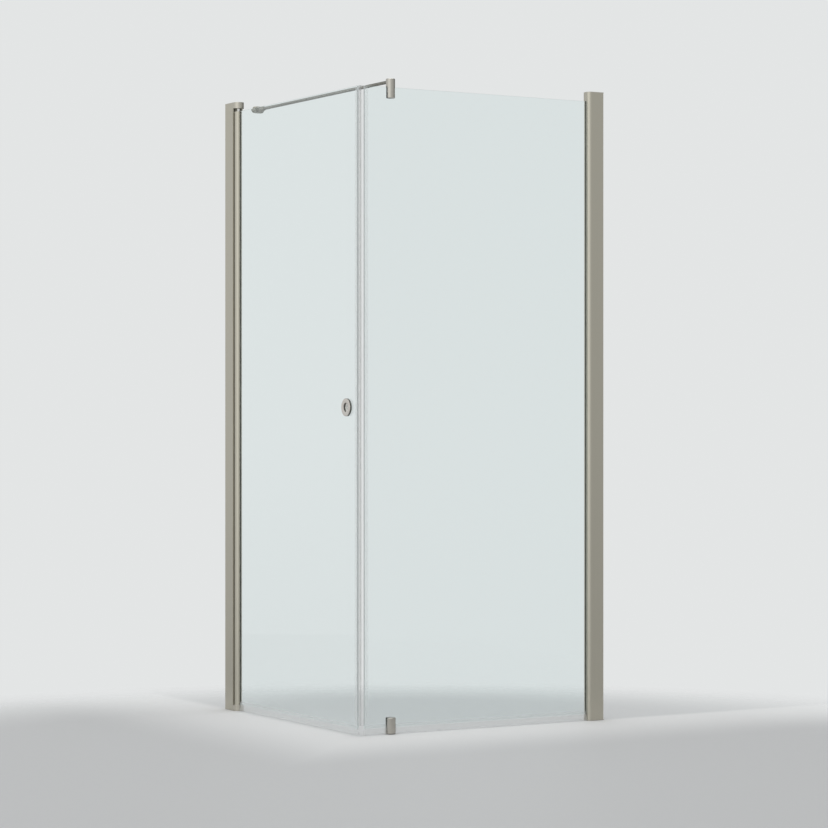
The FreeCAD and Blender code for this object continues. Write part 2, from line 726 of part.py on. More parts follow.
def cam_feature(name, shape):
    """A cam as a piece of its own, on the hinge axis."""
    piece = doc.addObject("Part::Feature", name)
    piece.Shape = shape
    piece.Placement = FreeCAD.Placement(FreeCAD.Vector(hinge_x.value, hinge_y.value, 0), FreeCAD.Rotation())
    node(name, piece)


def make_cams():
    """Rising hinge: two rings that meet on helical ramps, so the door climbs as it turns and falls shut."""
    pitch = S.lift_pitch.value
    radius = tube_radius.value
    floor = cam_low.value
    lower = Part.makeCylinder(radius, ramp_high.value - floor, FreeCAD.Vector(0, 0, floor))
    seat = pin_radius.value + S.pin_seat.value
    lower = lower.cut(Part.makeCylinder(seat, ramp_high.value, FreeCAD.Vector()))
    for cutter in ramp_cutters(ramp_low.value, pitch):
        lower = lower.cut(cutter)
    cam_feature("hinge_lower_cam", lower)
    top = tube_low.value
    upper = Part.makeCylinder(radius, top - ramp_low.value, FreeCAD.Vector(0, 0, ramp_low.value))
    spigot_radius = tube_bore.value / 2 - S.pin_seat.value
    upper = upper.fuse(Part.makeCylinder(spigot_radius, S.cam_spigot.value, FreeCAD.Vector(0, 0, top)))
    bore = pin_radius.value + S.running_gap.value
    upper = upper.cut(Part.makeCylinder(bore, top + S.cam_spigot.value, FreeCAD.Vector()))
    for cutter in ramp_cutters(ramp_low.value + S.cam_gap.value, -pitch):
        upper = upper.cut(cutter)
    cam_feature("hinge_upper_cam", upper)


def from_axis(corners):
    """Corners given from the hinge axis, put on the door side."""
    shifted = []
    for corner in corners:
        moved = (hinge_from_wall + corner[0], corner[1])
        if len(corner) > 2:
            through = corner[3]
            moved = moved + (corner[2], (hinge_from_wall + through[0], through[1]))
        shifted.append(moved)
    return on_side(door_side, shifted)


def make_hinge_tube():
    """Round tube with two lips that hold the door glass, and the U gasket inside the lips."""
    slot = half_glass + S.hinge_gasket
    lip = slot + S.lip_thick
    meet = root(tube_radius * tube_radius - lip * lip)
    corners = [
        (meet, lip, tube_radius, (-tube_radius, 0)), (meet, -lip), (lip_reach, -lip), (lip_reach, -slot),
        (tube_slot, -slot), (tube_slot, slot), (lip_reach, slot), (lip_reach, lip),
    ]
    bore = (hinge_x, hinge_y, tube_bore)
    tube = extrude("hinge_tube", [from_axis(corners)], tube_high - tube_low, (0, 0, tube_low), [bore])
    node("hinge_tube", tube)
    floor = glass_from_axis - S.glass_ease
    gasket = [
        (lip_reach, slot), (tube_slot, slot), (tube_slot, -slot), (lip_reach, -slot),
        (lip_reach, -half_seat), (floor, -half_seat), (floor, half_seat), (lip_reach, half_seat),
    ]
    lining = extrude("hinge_glazing_gasket", [from_axis(gasket)], tube_high - glass_low, (0, 0, glass_low))
    node("hinge_glazing_gasket", lining)


def make_panes():
    """Door pane with the finger hole, and the fixed pane."""
    start = hinge_x + glass_from_axis
    end = panel_x - S.edge_setback
    blank = block("door_glass_blank", (end - start, S.glass_thick, glass_height),
                  (start, door_y - half_glass, glass_low))
    hole = rod("door_glass_hole", grip_hole, 2 * S.glass_thick, (grip_x, door_y - S.glass_thick, grip_z), "Y")
    node("door_glass", cut("door_glass", blank, [hole]))
    low = door_y + S.edge_setback
    high = wall_y - web_end - S.panel_edge_gap
    pane = block("panel_glass", (S.glass_thick, high - low, glass_height),
                 (panel_x - half_glass, low, glass_low))
    node("panel_glass", pane)


def make_panel_gaskets():
    """Two strips that hold the fixed pane in its slot."""
    start = web_end + S.panel_edge_gap
    strips = []
    for step in (-1, 1):
        outline = rectangle(start, panel_depth, step * half_seat, step * panel_slot)
        name = "panel_gasket_inner" if step > 0 else "panel_gasket_outer"
        strips.append(extrude(name, [on_side(panel_side, outline)], glass_height, (0, 0, glass_low)))
    node("panel_glazing_gaskets", group("panel_glazing_gaskets", strips))


def make_edge_strips():
    """Clear strips on the free edges, cut to a mitre at the corner, each with a magnet inside."""
    outer = half_glass + S.edge_leg
    far = S.edge_setback + S.edge_clip
    face = S.meet_gap
    deep = face * MITRE + S.magnet_skin + S.magnet_thick / 2
    middle = -2 * deep * MITRE
    half_thick = S.magnet_thick / 2 * MITRE
    half_long = outer - S.magnet_side - half_thick
    floor = S.glass_ease - S.edge_setback
    strip = [
        (-far, -outer), (outer - face, -outer), (-outer - face, outer), (-far, outer), (-far, half_seat),
        (floor, half_seat), (floor, -half_seat), (-far, -half_seat),
    ]
    magnet = [
        (middle + along * half_long + out * half_thick, out * half_thick - along * half_long)
        for along, out in ((-1, -1), (1, -1), (1, 1), (-1, 1))
    ]
    low = glass_low + S.drip_clip + S.strip_end_gap
    length = glass_top - low
    places = {
        "door": lambda a, b: (panel_x + a, door_y + b),
        "panel": lambda a, b: (panel_x - b, door_y - a),
    }
    for side, place in places.items():
        outlines = [[place(a, b) for a, b in corners] for corners in (strip, magnet)]
        node(f"{side}_edge_seal", extrude(f"{side}_edge_seal", outlines, length, (0, 0, low)))
        node(f"{side}_edge_magnet", extrude(f"{side}_edge_magnet", outlines[1:], length, (0, 0, low)))


def drip_outline(middle, clear):
    """Section of a bottom strip: two legs beside the glass and two fins that lean out to the floor."""
    leg = half_glass + S.drip_leg
    under = glass_low - S.drip_web
    top = glass_low + S.drip_clip
    tip = leg + S.drip_spread
    half = [(half_seat, glass_low - S.glass_ease), (half_seat, top), (leg, top), (leg, under), (tip, clear),
            (tip - S.drip_leg, clear), (leg - S.drip_leg, under)]
    mirrored = [(-v, z) for v, z in reversed(half)]
    return [(middle + v, z) for v, z in half + mirrored]


def make_bottom_strips():
    """Drip strip under the door, and one under the fixed pane in two lengths beside the floor clamp."""
    start = hinge_x + lip_reach + S.strip_end_gap
    end = panel_x - S.edge_setback
    strip = extrude("door_bottom_seal", [drip_outline(door_y, S.door_drip_clear)], end - start, (start, 0, 0),
                    plane="YZ_Plane")
    node("door_bottom_seal", strip)
    section = drip_outline(panel_x, S.panel_drip_clear)
    room = S.foot_round / 2 + S.strip_end_gap
    first = door_y + S.edge_setback
    last = wall_y - panel_depth - S.strip_end_gap
    lengths = (
        ("panel_bottom_seal_short", first, stay_y - room),
        ("panel_bottom_seal_long", stay_y + room, last),
    )
    strips = [
        extrude(name, [section], high - low, (0, low, 0), plane="XZ_Plane", down=True)
        for name, low, high in lengths
    ]
    node("panel_bottom_seal", group("panel_bottom_seal", strips))


def make_grip():
    """Finger ring through the door glass: outer ring with a sleeve, inner ring on the sleeve, two washers."""
    rim = grip_round / 2
    nut = grip_hole / 2 + S.grip_nut
    bore = S.grip_bore / 2
    sleeve = grip_sleeve / 2
    edge = S.grip_edge
    seat = S.grip_washer
    face = seat + S.grip_flange
    back = -S.glass_thick - S.grip_washer
    end = back - S.grip_back
    front = door_y - half_glass
    outer = [
        (bore, end), (sleeve, end), (sleeve, seat), (rim, seat),
        quarter(rim, face - edge, edge, rim - edge, face - edge, 1, 1), (rim - edge, face),
        quarter(bore + edge, face, edge, bore + edge, face - edge, -1, 1), (bore, face - edge),
    ]
    hole = sleeve + S.running_gap
    inner = [
        (hole, back), (hole, end), quarter(nut - edge, end, edge, nut - edge, end + edge, 1, -1),
        (nut, end + edge), (nut, back),
    ]
    spot = (grip_x, front, grip_z)
    node("grip_ring_outer", revolve("grip_ring_outer", outer, spot, "-Y"))
    node("grip_ring_inner", revolve("grip_ring_inner", inner, spot, "-Y"))
    washers = []
    thick = S.grip_washer - S.glass_ease
    discs = (
        ("outer", rim, front - S.glass_ease),
        ("inner", nut, front + S.glass_thick + S.grip_washer),
    )
    for place, radius, y in discs:
        name = f"grip_washer_{place}"
        disc = rod(f"{name}_disc", 2 * (radius - edge), thick, (grip_x, y, grip_z), "-Y")
        eye = rod(f"{name}_eye", grip_hole, thick, (grip_x, y, grip_z), "-Y")
        washers.append(cut(name, disc, [eye]))
    node("grip_gaskets", group("grip_gaskets", washers))


def bevelled_post(name, diameter, low, high):
    """Round post with bevelled ends."""
    radius = diameter / 2
    bevel = S.post_bevel
    corners = [(0, low), (radius - bevel, low), (radius, low + bevel), (radius, high - bevel),
               (radius - bevel, high), (0, high)]
    return revolve(name, corners, (panel_x, stay_y, 0))


def liner_outline(low, high, floor):
    """U section of a clamp liner between two heights, closed at its floor."""
    outer = half_glass + S.liner
    return [(panel_x + x, z) for x, z in (
        (-outer, floor), (outer, floor), (outer, high), (half_seat, high), (half_seat, low),
        (-half_seat, low), (-half_seat, high), (-outer, high),
    )]


def grub_screw(name, length, place, turn):
    """Grub screw with a round socket at its start."""
    shank = rod(f"{name}_shank", S.grub, length, place, turn)
    socket = rod(f"{name}_socket", S.grub_socket, S.grub_socket_deep, place, turn)
    return cut(name, shank, [socket])


def make_stay():
    """Stay: post on the fixed pane, bar to the left wall, collar with an oval plate, and an oval rosette."""
    low = glass_top - S.post_low
    bar_top = bar_z + S.bar_round / 2
    high = bar_top + S.post_cover
    wide = S.glass_thick + 2 * S.liner
    radius = S.post_round / 2
    thread = S.grub + S.screw_clearance
    grub_z = glass_top - S.post_low / 2
    bar_start = wall_x + S.socket_plate_thick
    bar_end = panel_x + S.bar_past
    bore = S.bar_round + 2 * S.pin_seat
    post = bevelled_post("stay_clamp_post", S.post_round, low, high)
    slot = block("stay_clamp_slot", (wide, 2 * S.post_round, S.post_low + S.liner),
                 (panel_x - wide / 2, stay_y - S.post_round, low))
    bar_hole = rod("stay_clamp_bore", bore, radius + S.bar_past, (panel_x - radius, stay_y, bar_z), "X")
    jaw_hole = rod("stay_clamp_jaw_hole", thread, radius, (panel_x - radius, stay_y, grub_z), "X")
    top_hole = rod("stay_clamp_top_hole", thread, high - bar_z, (panel_x, stay_y, bar_z))
    node("stay_clamp", cut("stay_clamp", post, [slot, bar_hole, jaw_hole, top_hole]))
    reach = radius - S.liner_inset
    outline = liner_outline(glass_top + S.glass_ease, low, glass_top + S.liner)
    lining = extrude("stay_clamp_liner", [outline], 2 * reach, (0, stay_y - reach, 0),
                     plane="XZ_Plane", down=True)
    node("stay_clamp_liner", lining)
    bar = rod("stay_bar", S.bar_round, bar_end - bar_start, (bar_start, stay_y, bar_z), "X")
    node("stay_bar", bar)
    collar_top = bar_z + socket_round / 2
    collar_mid = wall_x + S.rosette_deep + (S.collar_length - S.collar_taper) / 2
    screws = [
        grub_screw("stay_grub_glass", radius - wide / 2, (panel_x - radius, stay_y, grub_z), "X"),
        grub_screw("stay_grub_bar", high - bar_top, (panel_x, stay_y, high), "-Z"),
        grub_screw("stay_grub_wall", collar_top - bar_top, (collar_mid, stay_y, collar_top), "-Z"),
    ]
    node("stay_grub_screws", group("stay_grub_screws", screws))
    make_wall_end(bore, collar_mid, thread)


def oval(name, long, wide, deep, start):
    """Plate with round ends, flat against the wall and running along Y."""
    straight = long - wide
    middle = block(f"{name}_middle", (deep, straight, wide), (start, stay_y - straight / 2, bar_z - wide / 2))
    ends = [
        rod(f"{name}_end_{i}", wide, deep, (start, stay_y + step * straight / 2, bar_z), "X")
        for i, step in enumerate((-1, 1))
    ]
    return fuse(name, [middle] + ends)


def make_wall_end(bore, collar_mid, thread):
    """Collar on an oval plate with two screw holes, and the rosette that covers the plate."""
    plate = oval("stay_wall_plate", plate_long, plate_wide, S.socket_plate_thick, wall_x)
    reach = S.rosette_deep + S.collar_length
    straight = reach - S.collar_taper
    collar = rod("stay_wall_collar", socket_round, straight, (wall_x, stay_y, bar_z), "X")
    tip = taper("stay_wall_collar_tip", socket_round, S.bar_round + 2 * S.collar_tip, S.collar_taper,
                (wall_x + straight, stay_y, bar_z), "X")
    past_plate = wall_x + S.socket_plate_thick
    tools = [
        rod("stay_wall_bore", bore, reach, (past_plate, stay_y, bar_z), "X"),
        rod("stay_wall_thread", thread, socket_round, (collar_mid, stay_y, bar_z)),
    ]
    tools += [
        rod(f"stay_wall_hole_{i}", S.socket_hole, DRILL * S.socket_plate_thick,
            (wall_x - S.socket_plate_thick, stay_y + step * hole_span / 2, bar_z), "X")
        for i, step in enumerate((-1, 1))
    ]
    solid = fuse("stay_wall_socket_solid", [plate, collar, tip])
    node("stay_wall_socket", cut("stay_wall_socket", solid, tools))
    gap = 2 * S.rosette_gap
    room = oval("stay_wall_cover_room", plate_long + gap, plate_wide + gap,
                S.rosette_deep - S.rosette_wall, wall_x)
    rim = gap + 2 * S.rosette_wall
    shell = oval("stay_wall_cover_shell", plate_long + rim, plate_wide + rim, S.rosette_deep, wall_x)
    eye = rod("stay_wall_cover_eye", socket_round + S.screw_clearance, S.rosette_deep,
              (wall_x, stay_y, bar_z), "X")
    node("stay_wall_cover", cut("stay_wall_cover", shell, [room, eye]))


def make_floor_clamp():
    """Round foot with a slot for the fixed pane, on a thin pad, with a stud hole from below."""
    wide = S.glass_thick + 2 * S.liner
    radius = S.foot_round / 2
    slot_floor = glass_low - S.liner
    thread = S.grub + S.screw_clearance
    foot_high = glass_low + S.foot_jaw
    post = bevelled_post("floor_clamp_post", S.foot_round, S.foot_pad, foot_high)
    slot = block("floor_clamp_slot", (wide, 2 * S.foot_round, foot_high),
                 (panel_x - wide / 2, stay_y - S.foot_round, slot_floor))
    stud = rod("floor_clamp_stud_hole", S.foot_bore, slot_floor - S.foot_roof, (panel_x, stay_y, as_size(0)))
    half_span = S.foot_grub_span / 2
    spots = [(panel_x - radius, stay_y + step * half_span, foot_high - S.foot_grub_down) for step in (-1, 1)]
    holes = [rod(f"floor_clamp_jaw_hole_{i}", thread, radius, spot, "X") for i, spot in enumerate(spots)]
    node("floor_clamp", cut("floor_clamp", post, [slot, stud] + holes))
    reach = radius - S.liner_inset
    outline = liner_outline(glass_low - S.glass_ease, foot_high, slot_floor)
    lining = extrude("floor_clamp_liner", [outline], 2 * reach, (0, stay_y - reach, 0),
                     plane="XZ_Plane", down=True)
    node("floor_clamp_liner", lining)
    ground = (panel_x, stay_y, as_size(0))
    disc = rod("floor_clamp_pad_disc", S.foot_round - 2 * S.post_bevel, S.foot_pad, ground)
    eye = rod("floor_clamp_pad_eye", S.foot_bore + S.screw_clearance, S.foot_pad, ground)
    node("floor_clamp_pad", cut("floor_clamp_pad", disc, [eye]))
    face = root(radius * radius - half_span * half_span)
    screws = [
        grub_screw(f"floor_grub_{i}", face - wide / 2, (panel_x - face, spot[1], spot[2]), "X")
        for i, spot in enumerate(spots)
    ]
    node("floor_grub_screws", group("floor_grub_screws", screws))


def make_lock_screws():
    """Pan head screws from the inner side that lock each cover profile to its channel."""
    screws = []
    reach = S.profile_wall + S.slide_gap + S.channel_wall
    for side in (door_side, panel_side):
        name = f"{side.name}_lock_screw"
        shanks = lock_rods(side, f"{name}_shank", S.lock_shank, half_width - reach, reach + S.lock_head_high)
        heads = lock_rods(side, f"{name}_head", S.lock_head, half_width, S.lock_head_high)
        screws += [fuse(f"{name}_{i}", pair) for i, pair in enumerate(zip(shanks, heads))]
    node("profile_lock_screws", group("profile_lock_screws", screws))


def make_cap_screws():
    """Countersunk screws that hold the end caps in the profiles' screw ports."""
    screws = []
    shank = S.port_bore - S.port_play
    for side in (door_side, panel_side):
        for end, level, turn in (("top", S.overall_height, "-Z"), ("bottom", as_size(0), "Z")):
            for i, (x, y, _) in enumerate(ports(side)):
                name = f"{side.name}_{end}_cap_screw_{i}"
                stem = rod(f"{name}_stem", shank, S.cap_screw_length, (x, y, level), turn)
                head = taper(f"{name}_head", S.cap_screw_head, shank, S.cap_screw_cone, (x, y, level), turn)
                screws.append(fuse(name, [stem, head]))
    node("end_cap_screws", group("end_cap_screws", screws))


make_channel(door_side)
make_channel(panel_side)
make_door_cover()
make_panel_cover()
make_hinge_strip()
make_hinge_caps()
make_panel_caps()
make_pins()
make_top_bush()
make_cams()
make_hinge_tube()
make_panes()
make_panel_gaskets()
make_edge_strips()
make_bottom_strips()
make_grip()
make_stay()
make_floor_clamp()
make_lock_screws()
make_cap_screws()
doc.recompute()

for piece in doc.Objects:
    if "Invalid" in piece.State or "Error" in piece.State:
        raise RuntimeError(f"{piece.Label} failed: {piece.State}")
for label, piece in nodes.items():
    if piece.Shape.isNull() or not piece.Shape.isValid():
        raise RuntimeError(f"{label} has no valid shape")

os.makedirs("parts", exist_ok=True)
for label, piece in nodes.items():
    piece.Shape.exportStep(f"parts/{label}.step")
    print(f"{label}: {len(piece.Shape.Solids)} solids, {piece.Shape.Volume:.0f} mm3")
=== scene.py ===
import json
import math

import bmesh
import bpy
import numpy as np
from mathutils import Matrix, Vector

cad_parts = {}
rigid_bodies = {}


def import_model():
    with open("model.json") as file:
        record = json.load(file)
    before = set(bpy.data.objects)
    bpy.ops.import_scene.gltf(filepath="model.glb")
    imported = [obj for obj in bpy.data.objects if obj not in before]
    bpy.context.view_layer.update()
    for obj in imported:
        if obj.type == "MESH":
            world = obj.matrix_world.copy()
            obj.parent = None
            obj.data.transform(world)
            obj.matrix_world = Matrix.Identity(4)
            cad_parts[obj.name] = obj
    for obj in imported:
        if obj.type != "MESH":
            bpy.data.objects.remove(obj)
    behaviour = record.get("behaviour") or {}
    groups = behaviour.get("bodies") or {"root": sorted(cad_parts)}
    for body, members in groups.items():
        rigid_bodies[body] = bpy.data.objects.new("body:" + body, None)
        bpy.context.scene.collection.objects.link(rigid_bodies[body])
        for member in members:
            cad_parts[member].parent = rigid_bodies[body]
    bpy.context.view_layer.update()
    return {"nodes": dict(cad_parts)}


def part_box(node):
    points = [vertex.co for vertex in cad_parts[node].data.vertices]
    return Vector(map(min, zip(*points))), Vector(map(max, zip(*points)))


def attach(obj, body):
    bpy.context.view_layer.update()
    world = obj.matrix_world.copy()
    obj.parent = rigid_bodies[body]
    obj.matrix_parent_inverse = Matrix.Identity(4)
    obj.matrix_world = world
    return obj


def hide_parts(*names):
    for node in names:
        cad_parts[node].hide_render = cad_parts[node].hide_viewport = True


bl_info = {
    "name": "Corner shower screen",
    "version": (1, 0, 0),
    "blender": (4, 5, 0),
    "location": "3D View > Sidebar > Shower screen",
    "description": "Gives a corner shower screen its finishes, its fine fittings and a plain stage",
    "category": "Object",
}

for leftover in list(bpy.data.objects):
    bpy.data.objects.remove(leftover)
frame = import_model()
MM = 0.001
FULL_TURN = 2 * math.pi

# Scales of the grains for each axis, small along lines and large across them, and values of their noise.
UPRIGHT = (1500, 1500, 4)
ALONG_X = (4, 1500, 1500)
TURNED_LINES = (60, 60, 2500)
RING_LINES = (700, 40, 700)
SCREW_GRAIN = (500, 500, 500)
DRAWN_CLOUD = (5, 5, 5)
CAST_GRAIN = (1400, 1400, 1400)
CAST_CLOUD = (30, 30, 30)
GLASS_CLOUD = (3, 3, 3)
GROUND_GRAIN = (400, 400, 400)
LINER_GRAIN = (300, 300, 300)
STRIP_UPRIGHT = (700, 700, 0.15)
STRIP_ALONG_X = (0.15, 700, 700)
STRIP_ALONG_Y = (700, 0.15, 700)
FLOOR_GRAIN = (40, 40, 40)
CLOUD_DETAIL = 2.0
GRAIN_MEAN = 0.5

# Heights of the reliefs.
LINE_HEIGHT = 0.1 * MM
CAST_HEIGHT = 0.08 * MM

# Fineness of the meshes, and the limits for merged points, flat faces and sharp edges.
RING_SIDES = 160
ROSETTE_SIDES = 144
ROSETTE_ROWS = 19
SCREW_SIDES = 72
FACE_ROWS = 26
THREAD_ROWS = 8
EDGE_STEPS = 9
FIN_STEPS = 9
FLOOR_SIDES = 96
MERGED = 1e-7
FLAT = 1e-8
SHARP = math.radians(32)

# Radius of the grub screws, and the small room between surfaces that would else meet.
GRUB_RADIUS = 2.5 * MM
EASE = 0.05 * MM

# The floor's height, the radii of its rows and the distances, in metres, at which its tones change: a
# painted pool of light just before the panes and painted shade towards the camera.
FLOOR_LEVEL = -0.5 * MM
FLOOR_RADII = (0, 1, 3, 8)
FADE_BEHIND = (0.8, 2.2)
FADE_ROUND = (2.6, 4.2)
LIT_BAND_LINE = (0.41, 0.47)
FRONT_SHADE = (0.47, 1.0)

# Reach of the lobes of the reflected background, as cosines, and of its dimming, as the fall of a ray.
FAR_LOBE = (0.1, 0.9)
FRONT_LOBE = (0.1, 1.0)
LOW_FALL = (0.0, 0.1)

# Each lamp's place, target and side in metres.
LAMPS = {
    "front_lamp": ((3.7, -6.3, 2.4), (0, 0, 1.1), 7.0),
    "side_lamp": ((-5.6, -4.2, 1.7), (0, 0, 1.1), 4.0),
    "top_lamp": ((-0.5, 0.5, 10.0), (0, 0, 0.5), 8.0),
}

# The camera's sensor in millimetres, and how far it sees in metres.
SENSOR_WIDTH = 36
FARTHEST = 100


def colour(name, description, default):
    """A colour that a user may change."""
    return bpy.props.FloatVectorProperty(
        name=name, description=description, default=default, size=3, min=0, max=1, subtype="COLOR")


def length(name, description, default):
    """A length in metres that a user may change."""
    return bpy.props.FloatProperty(
        name=name, description=description, default=default, min=0, subtype="DISTANCE", unit="LENGTH")


class ScreenColours(bpy.types.PropertyGroup):
    """Colours of the finishes."""
    nickel_light: colour("Nickel, light", "Light lines of the drawn profiles", (0.485, 0.46, 0.39))
    nickel_dark: colour("Nickel, dark", "Dark lines of the drawn profiles", (0.41, 0.388, 0.327))
    cap_light: colour("Caps, light", "Light grain of the cast end caps", (0.5, 0.475, 0.415))
    cap_dark: colour("Caps, dark", "Dark grain of the cast end caps", (0.42, 0.395, 0.34))
    fitting_light: colour("Fittings, light", "Light lines of the clamps", (0.46, 0.44, 0.4))
    fitting_dark: colour("Fittings, dark", "Dark lines of the clamps", (0.38, 0.36, 0.325))
    # The stay bar is the clamps' nickel darkened as painted shade, for the dark surroundings it mirrors.
    bar_light: colour("Bar, light", "Light lines of the stay bar", (0.26, 0.25, 0.22))
    bar_dark: colour("Bar, dark", "Dark lines of the stay bar", (0.2, 0.19, 0.165))
    # The stay's wall end is nickel darkened as painted shade, like the bar.
    end_light: colour("Wall end, light", "Light grain of the stay's wall end", (0.32, 0.31, 0.265))
    end_dark: colour("Wall end, dark", "Dark grain of the stay's wall end", (0.25, 0.24, 0.205))
    ring_light: colour("Ring, light", "Light lines of the finger ring", (0.61, 0.58, 0.545))
    ring_dark: colour("Ring, dark", "Dark lines of the finger ring", (0.53, 0.5, 0.465))
    # Near-black colour of the ring's turned sides: painted shade on the rim.
    ring_side: colour("Ring, sides", "Dark turned sides of the finger ring", (0.13, 0.125, 0.115))
    # Near-white sleeve colour: painted light, standing in for the brightness seen through the finger hole.
    sleeve: colour("Ring sleeve", "Bright sleeve behind the finger ring", (0.9, 0.87, 0.83))
    steel_light: colour("Steel, light", "Light rings of the screws and pins", (0.58, 0.57, 0.55))
    steel_dark: colour("Steel, dark", "Dark rings of the screws and pins", (0.44, 0.43, 0.42))
    glass_face: colour("Glass", "Tint of the panes", (0.9, 0.956, 0.956))
    glass_edge: colour("Glass edge", "Tint of the ground edges", (0.8, 0.85, 0.845))
    edge_cloud: colour("Glass edge, deep", "Deeper grain of the ground edges", (0.72, 0.785, 0.78))
    strip_clear: colour("Clear strip", "Tint of the clear strips", (0.86, 0.88, 0.88))
    strip_cloudy: colour("Cloudy strip", "Cloudier streaks of the clear strips", (0.79, 0.82, 0.82))
    # Near-black liners and washers are painted shade, so the clamp slits and the gaps round the finger ring
    # read dark.
    liner_light: colour("Liner, light", "Light grain of the liners and washers", (0.075, 0.075, 0.072))
    liner_dark: colour("Liner, dark", "Dark grain of the liners and washers", (0.045, 0.045, 0.043))
    magnet_light: colour("Magnet, light", "Light grain of the bonded magnets", (0.86, 0.885, 0.885))
    magnet_dark: colour("Magnet, dark", "Dark grain of the bonded magnets", (0.78, 0.8, 0.8))
    rubber_light: colour("Rubber, light", "Light grain of the dark gaskets", (0.06, 0.06, 0.056))
    rubber_dark: colour("Rubber, dark", "Dark grain of the dark gaskets", (0.03, 0.03, 0.028))
    bearing_light: colour("Bearing, light", "Light grain of the cams and the bush", (0.82, 0.82, 0.79))
    bearing_dark: colour("Bearing, dark", "Dark grain of the cams and the bush", (0.72, 0.72, 0.69))


class ScreenSizes(bpy.types.PropertyGroup):
    """Sizes of the fine fittings that the solids leave plain."""
    cross_width: length("Cross width", "Width of the cross in a screw head", 1.0 * MM)
    cross_reach: length("Cross reach", "Half length of the cross in a screw head", 1.9 * MM)
    cross_depth: length("Cross depth", "Depth of the cross in a screw head", 1.1 * MM)
    hex_width: length("Hexagon", "Width across the flats of a grub screw's socket", 2.5 * MM)
    hex_depth: length("Hexagon depth", "Depth of a grub screw's socket", 1.8 * MM)
    thread_pitch: length("Thread pitch", "Pitch of the grub screws", 0.8 * MM)
    thread_depth: length("Thread depth", "Depth of the grub screws' thread", 0.3 * MM)
    ring_bore: length("Finger hole", "Radius of the finger hole", 13.5 * MM)
    ring_sleeve: length("Sleeve wall", "Wall of the ring's sleeve through the glass", 1.8 * MM)
    ring_flange: length("Ring thickness", "Thickness of the outer ring", 6.0 * MM)
    ring_edge: length("Ring edge", "Edge radius of the finger ring", 1.0 * MM)
    rosette_wall: length("Rosette wall", "Wall of the rosette", 1.4 * MM)
    rosette_eye: length("Rosette eye", "Radius of the hole for the wall collar", 8.1 * MM)
    drip_spread: length("Fin spread", "How far the fins of the bottom strips lean out", 2.2 * MM)


class ScreenStage(bpy.types.PropertyGroup):
    """Camera, floor and light."""
    focal: bpy.props.FloatProperty(
        name="Focal length", description="Focal length of the camera on a 36 mm sensor", default=116.28,
        min=1, subtype="DISTANCE_CAMERA", unit="CAMERA")
    eye: bpy.props.FloatVectorProperty(
        name="Camera place", description="Where the camera stands", default=(7.493, -4.395, 0.9675),
        size=3, subtype="TRANSLATION", unit="LENGTH")
    heading: bpy.props.FloatProperty(
        name="Heading", description="Turn of the level camera about the vertical",
        default=math.radians(59.54), subtype="ANGLE", unit="ROTATION")
    rise: bpy.props.FloatProperty(
        name="Shift", description="Upward shift of the view", default=0.00286)
    floor_inside: colour("Floor inside", "Colour of the floor behind the panes", (0.63, 0.645, 0.65))
    # Pale band just before the panes: a painted pool of light.
    floor_before: colour("Floor before", "Colour of the floor just before the panes", (0.76, 0.77, 0.77))
    # Darker floor towards the camera: painted shade.
    floor_front: colour("Floor in front", "Colour of the floor towards the camera", (0.55, 0.56, 0.565))
    background: colour("Background", "Colour behind the object", (0.77, 0.785, 0.785))
    sky: bpy.props.FloatProperty(
        name="Sky light", description="Strength of the even light from all round", default=0.62, min=0)
    far_dim: bpy.props.FloatProperty(
        name="Far side", description="How much dimmer reflections are of what lies behind the object",
        default=0.6, min=0, max=1, subtype="FACTOR")
    low_dim: bpy.props.FloatProperty(
        name="Low side", description="How much dimmer reflections are of what lies below eye level",
        default=0.3, min=0, max=1, subtype="FACTOR")
    dim_heading: bpy.props.FloatProperty(
        name="Far heading", description="Heading in which reflections are dimmest",
        default=math.radians(30), subtype="ANGLE", unit="ROTATION")
    front_glow: bpy.props.FloatProperty(
        name="Front glow", description="How much brighter reflections are of what lies before the door",
        default=0.5, min=0, subtype="FACTOR")
    glow_heading: bpy.props.FloatProperty(
        name="Glow heading", description="Heading in which reflections are brightest",
        default=math.radians(-155), subtype="ANGLE", unit="ROTATION")
    front_lamp: bpy.props.FloatProperty(
        name="Front lamp", description="Power of the large lamp beside the camera", default=48, min=0,
        subtype="POWER", unit="POWER")
    side_lamp: bpy.props.FloatProperty(
        name="Side lamp", description="Power of the large dim lamp on the door's side", default=8, min=0,
        subtype="POWER", unit="POWER")
    top_lamp: bpy.props.FloatProperty(
        name="Top lamp", description="Power of the large lamp overhead", default=330, min=0,
        subtype="POWER", unit="POWER")


class Socket:
    """An output of a node. Arithmetic and comparisons on it add Math nodes."""

    def __init__(self, shader, socket):
        self.shader = shader
        self.socket = socket

    def __add__(self, other):
        return self.shader.math("ADD", self, other)

    def __sub__(self, other):
        return self.shader.math("SUBTRACT", self, other)

    def __rsub__(self, other):
        return self.shader.math("SUBTRACT", other, self)

    def __mul__(self, other):
        return self.shader.math("MULTIPLY", self, other)

    def __lt__(self, other):
        return self.shader.math("LESS_THAN", self, other)

    def __gt__(self, other):
        return self.shader.math("GREATER_THAN", self, other)

    def __abs__(self):
        return self.shader.math("ABSOLUTE", self)

    __radd__ = __add__
    __rmul__ = __mul__


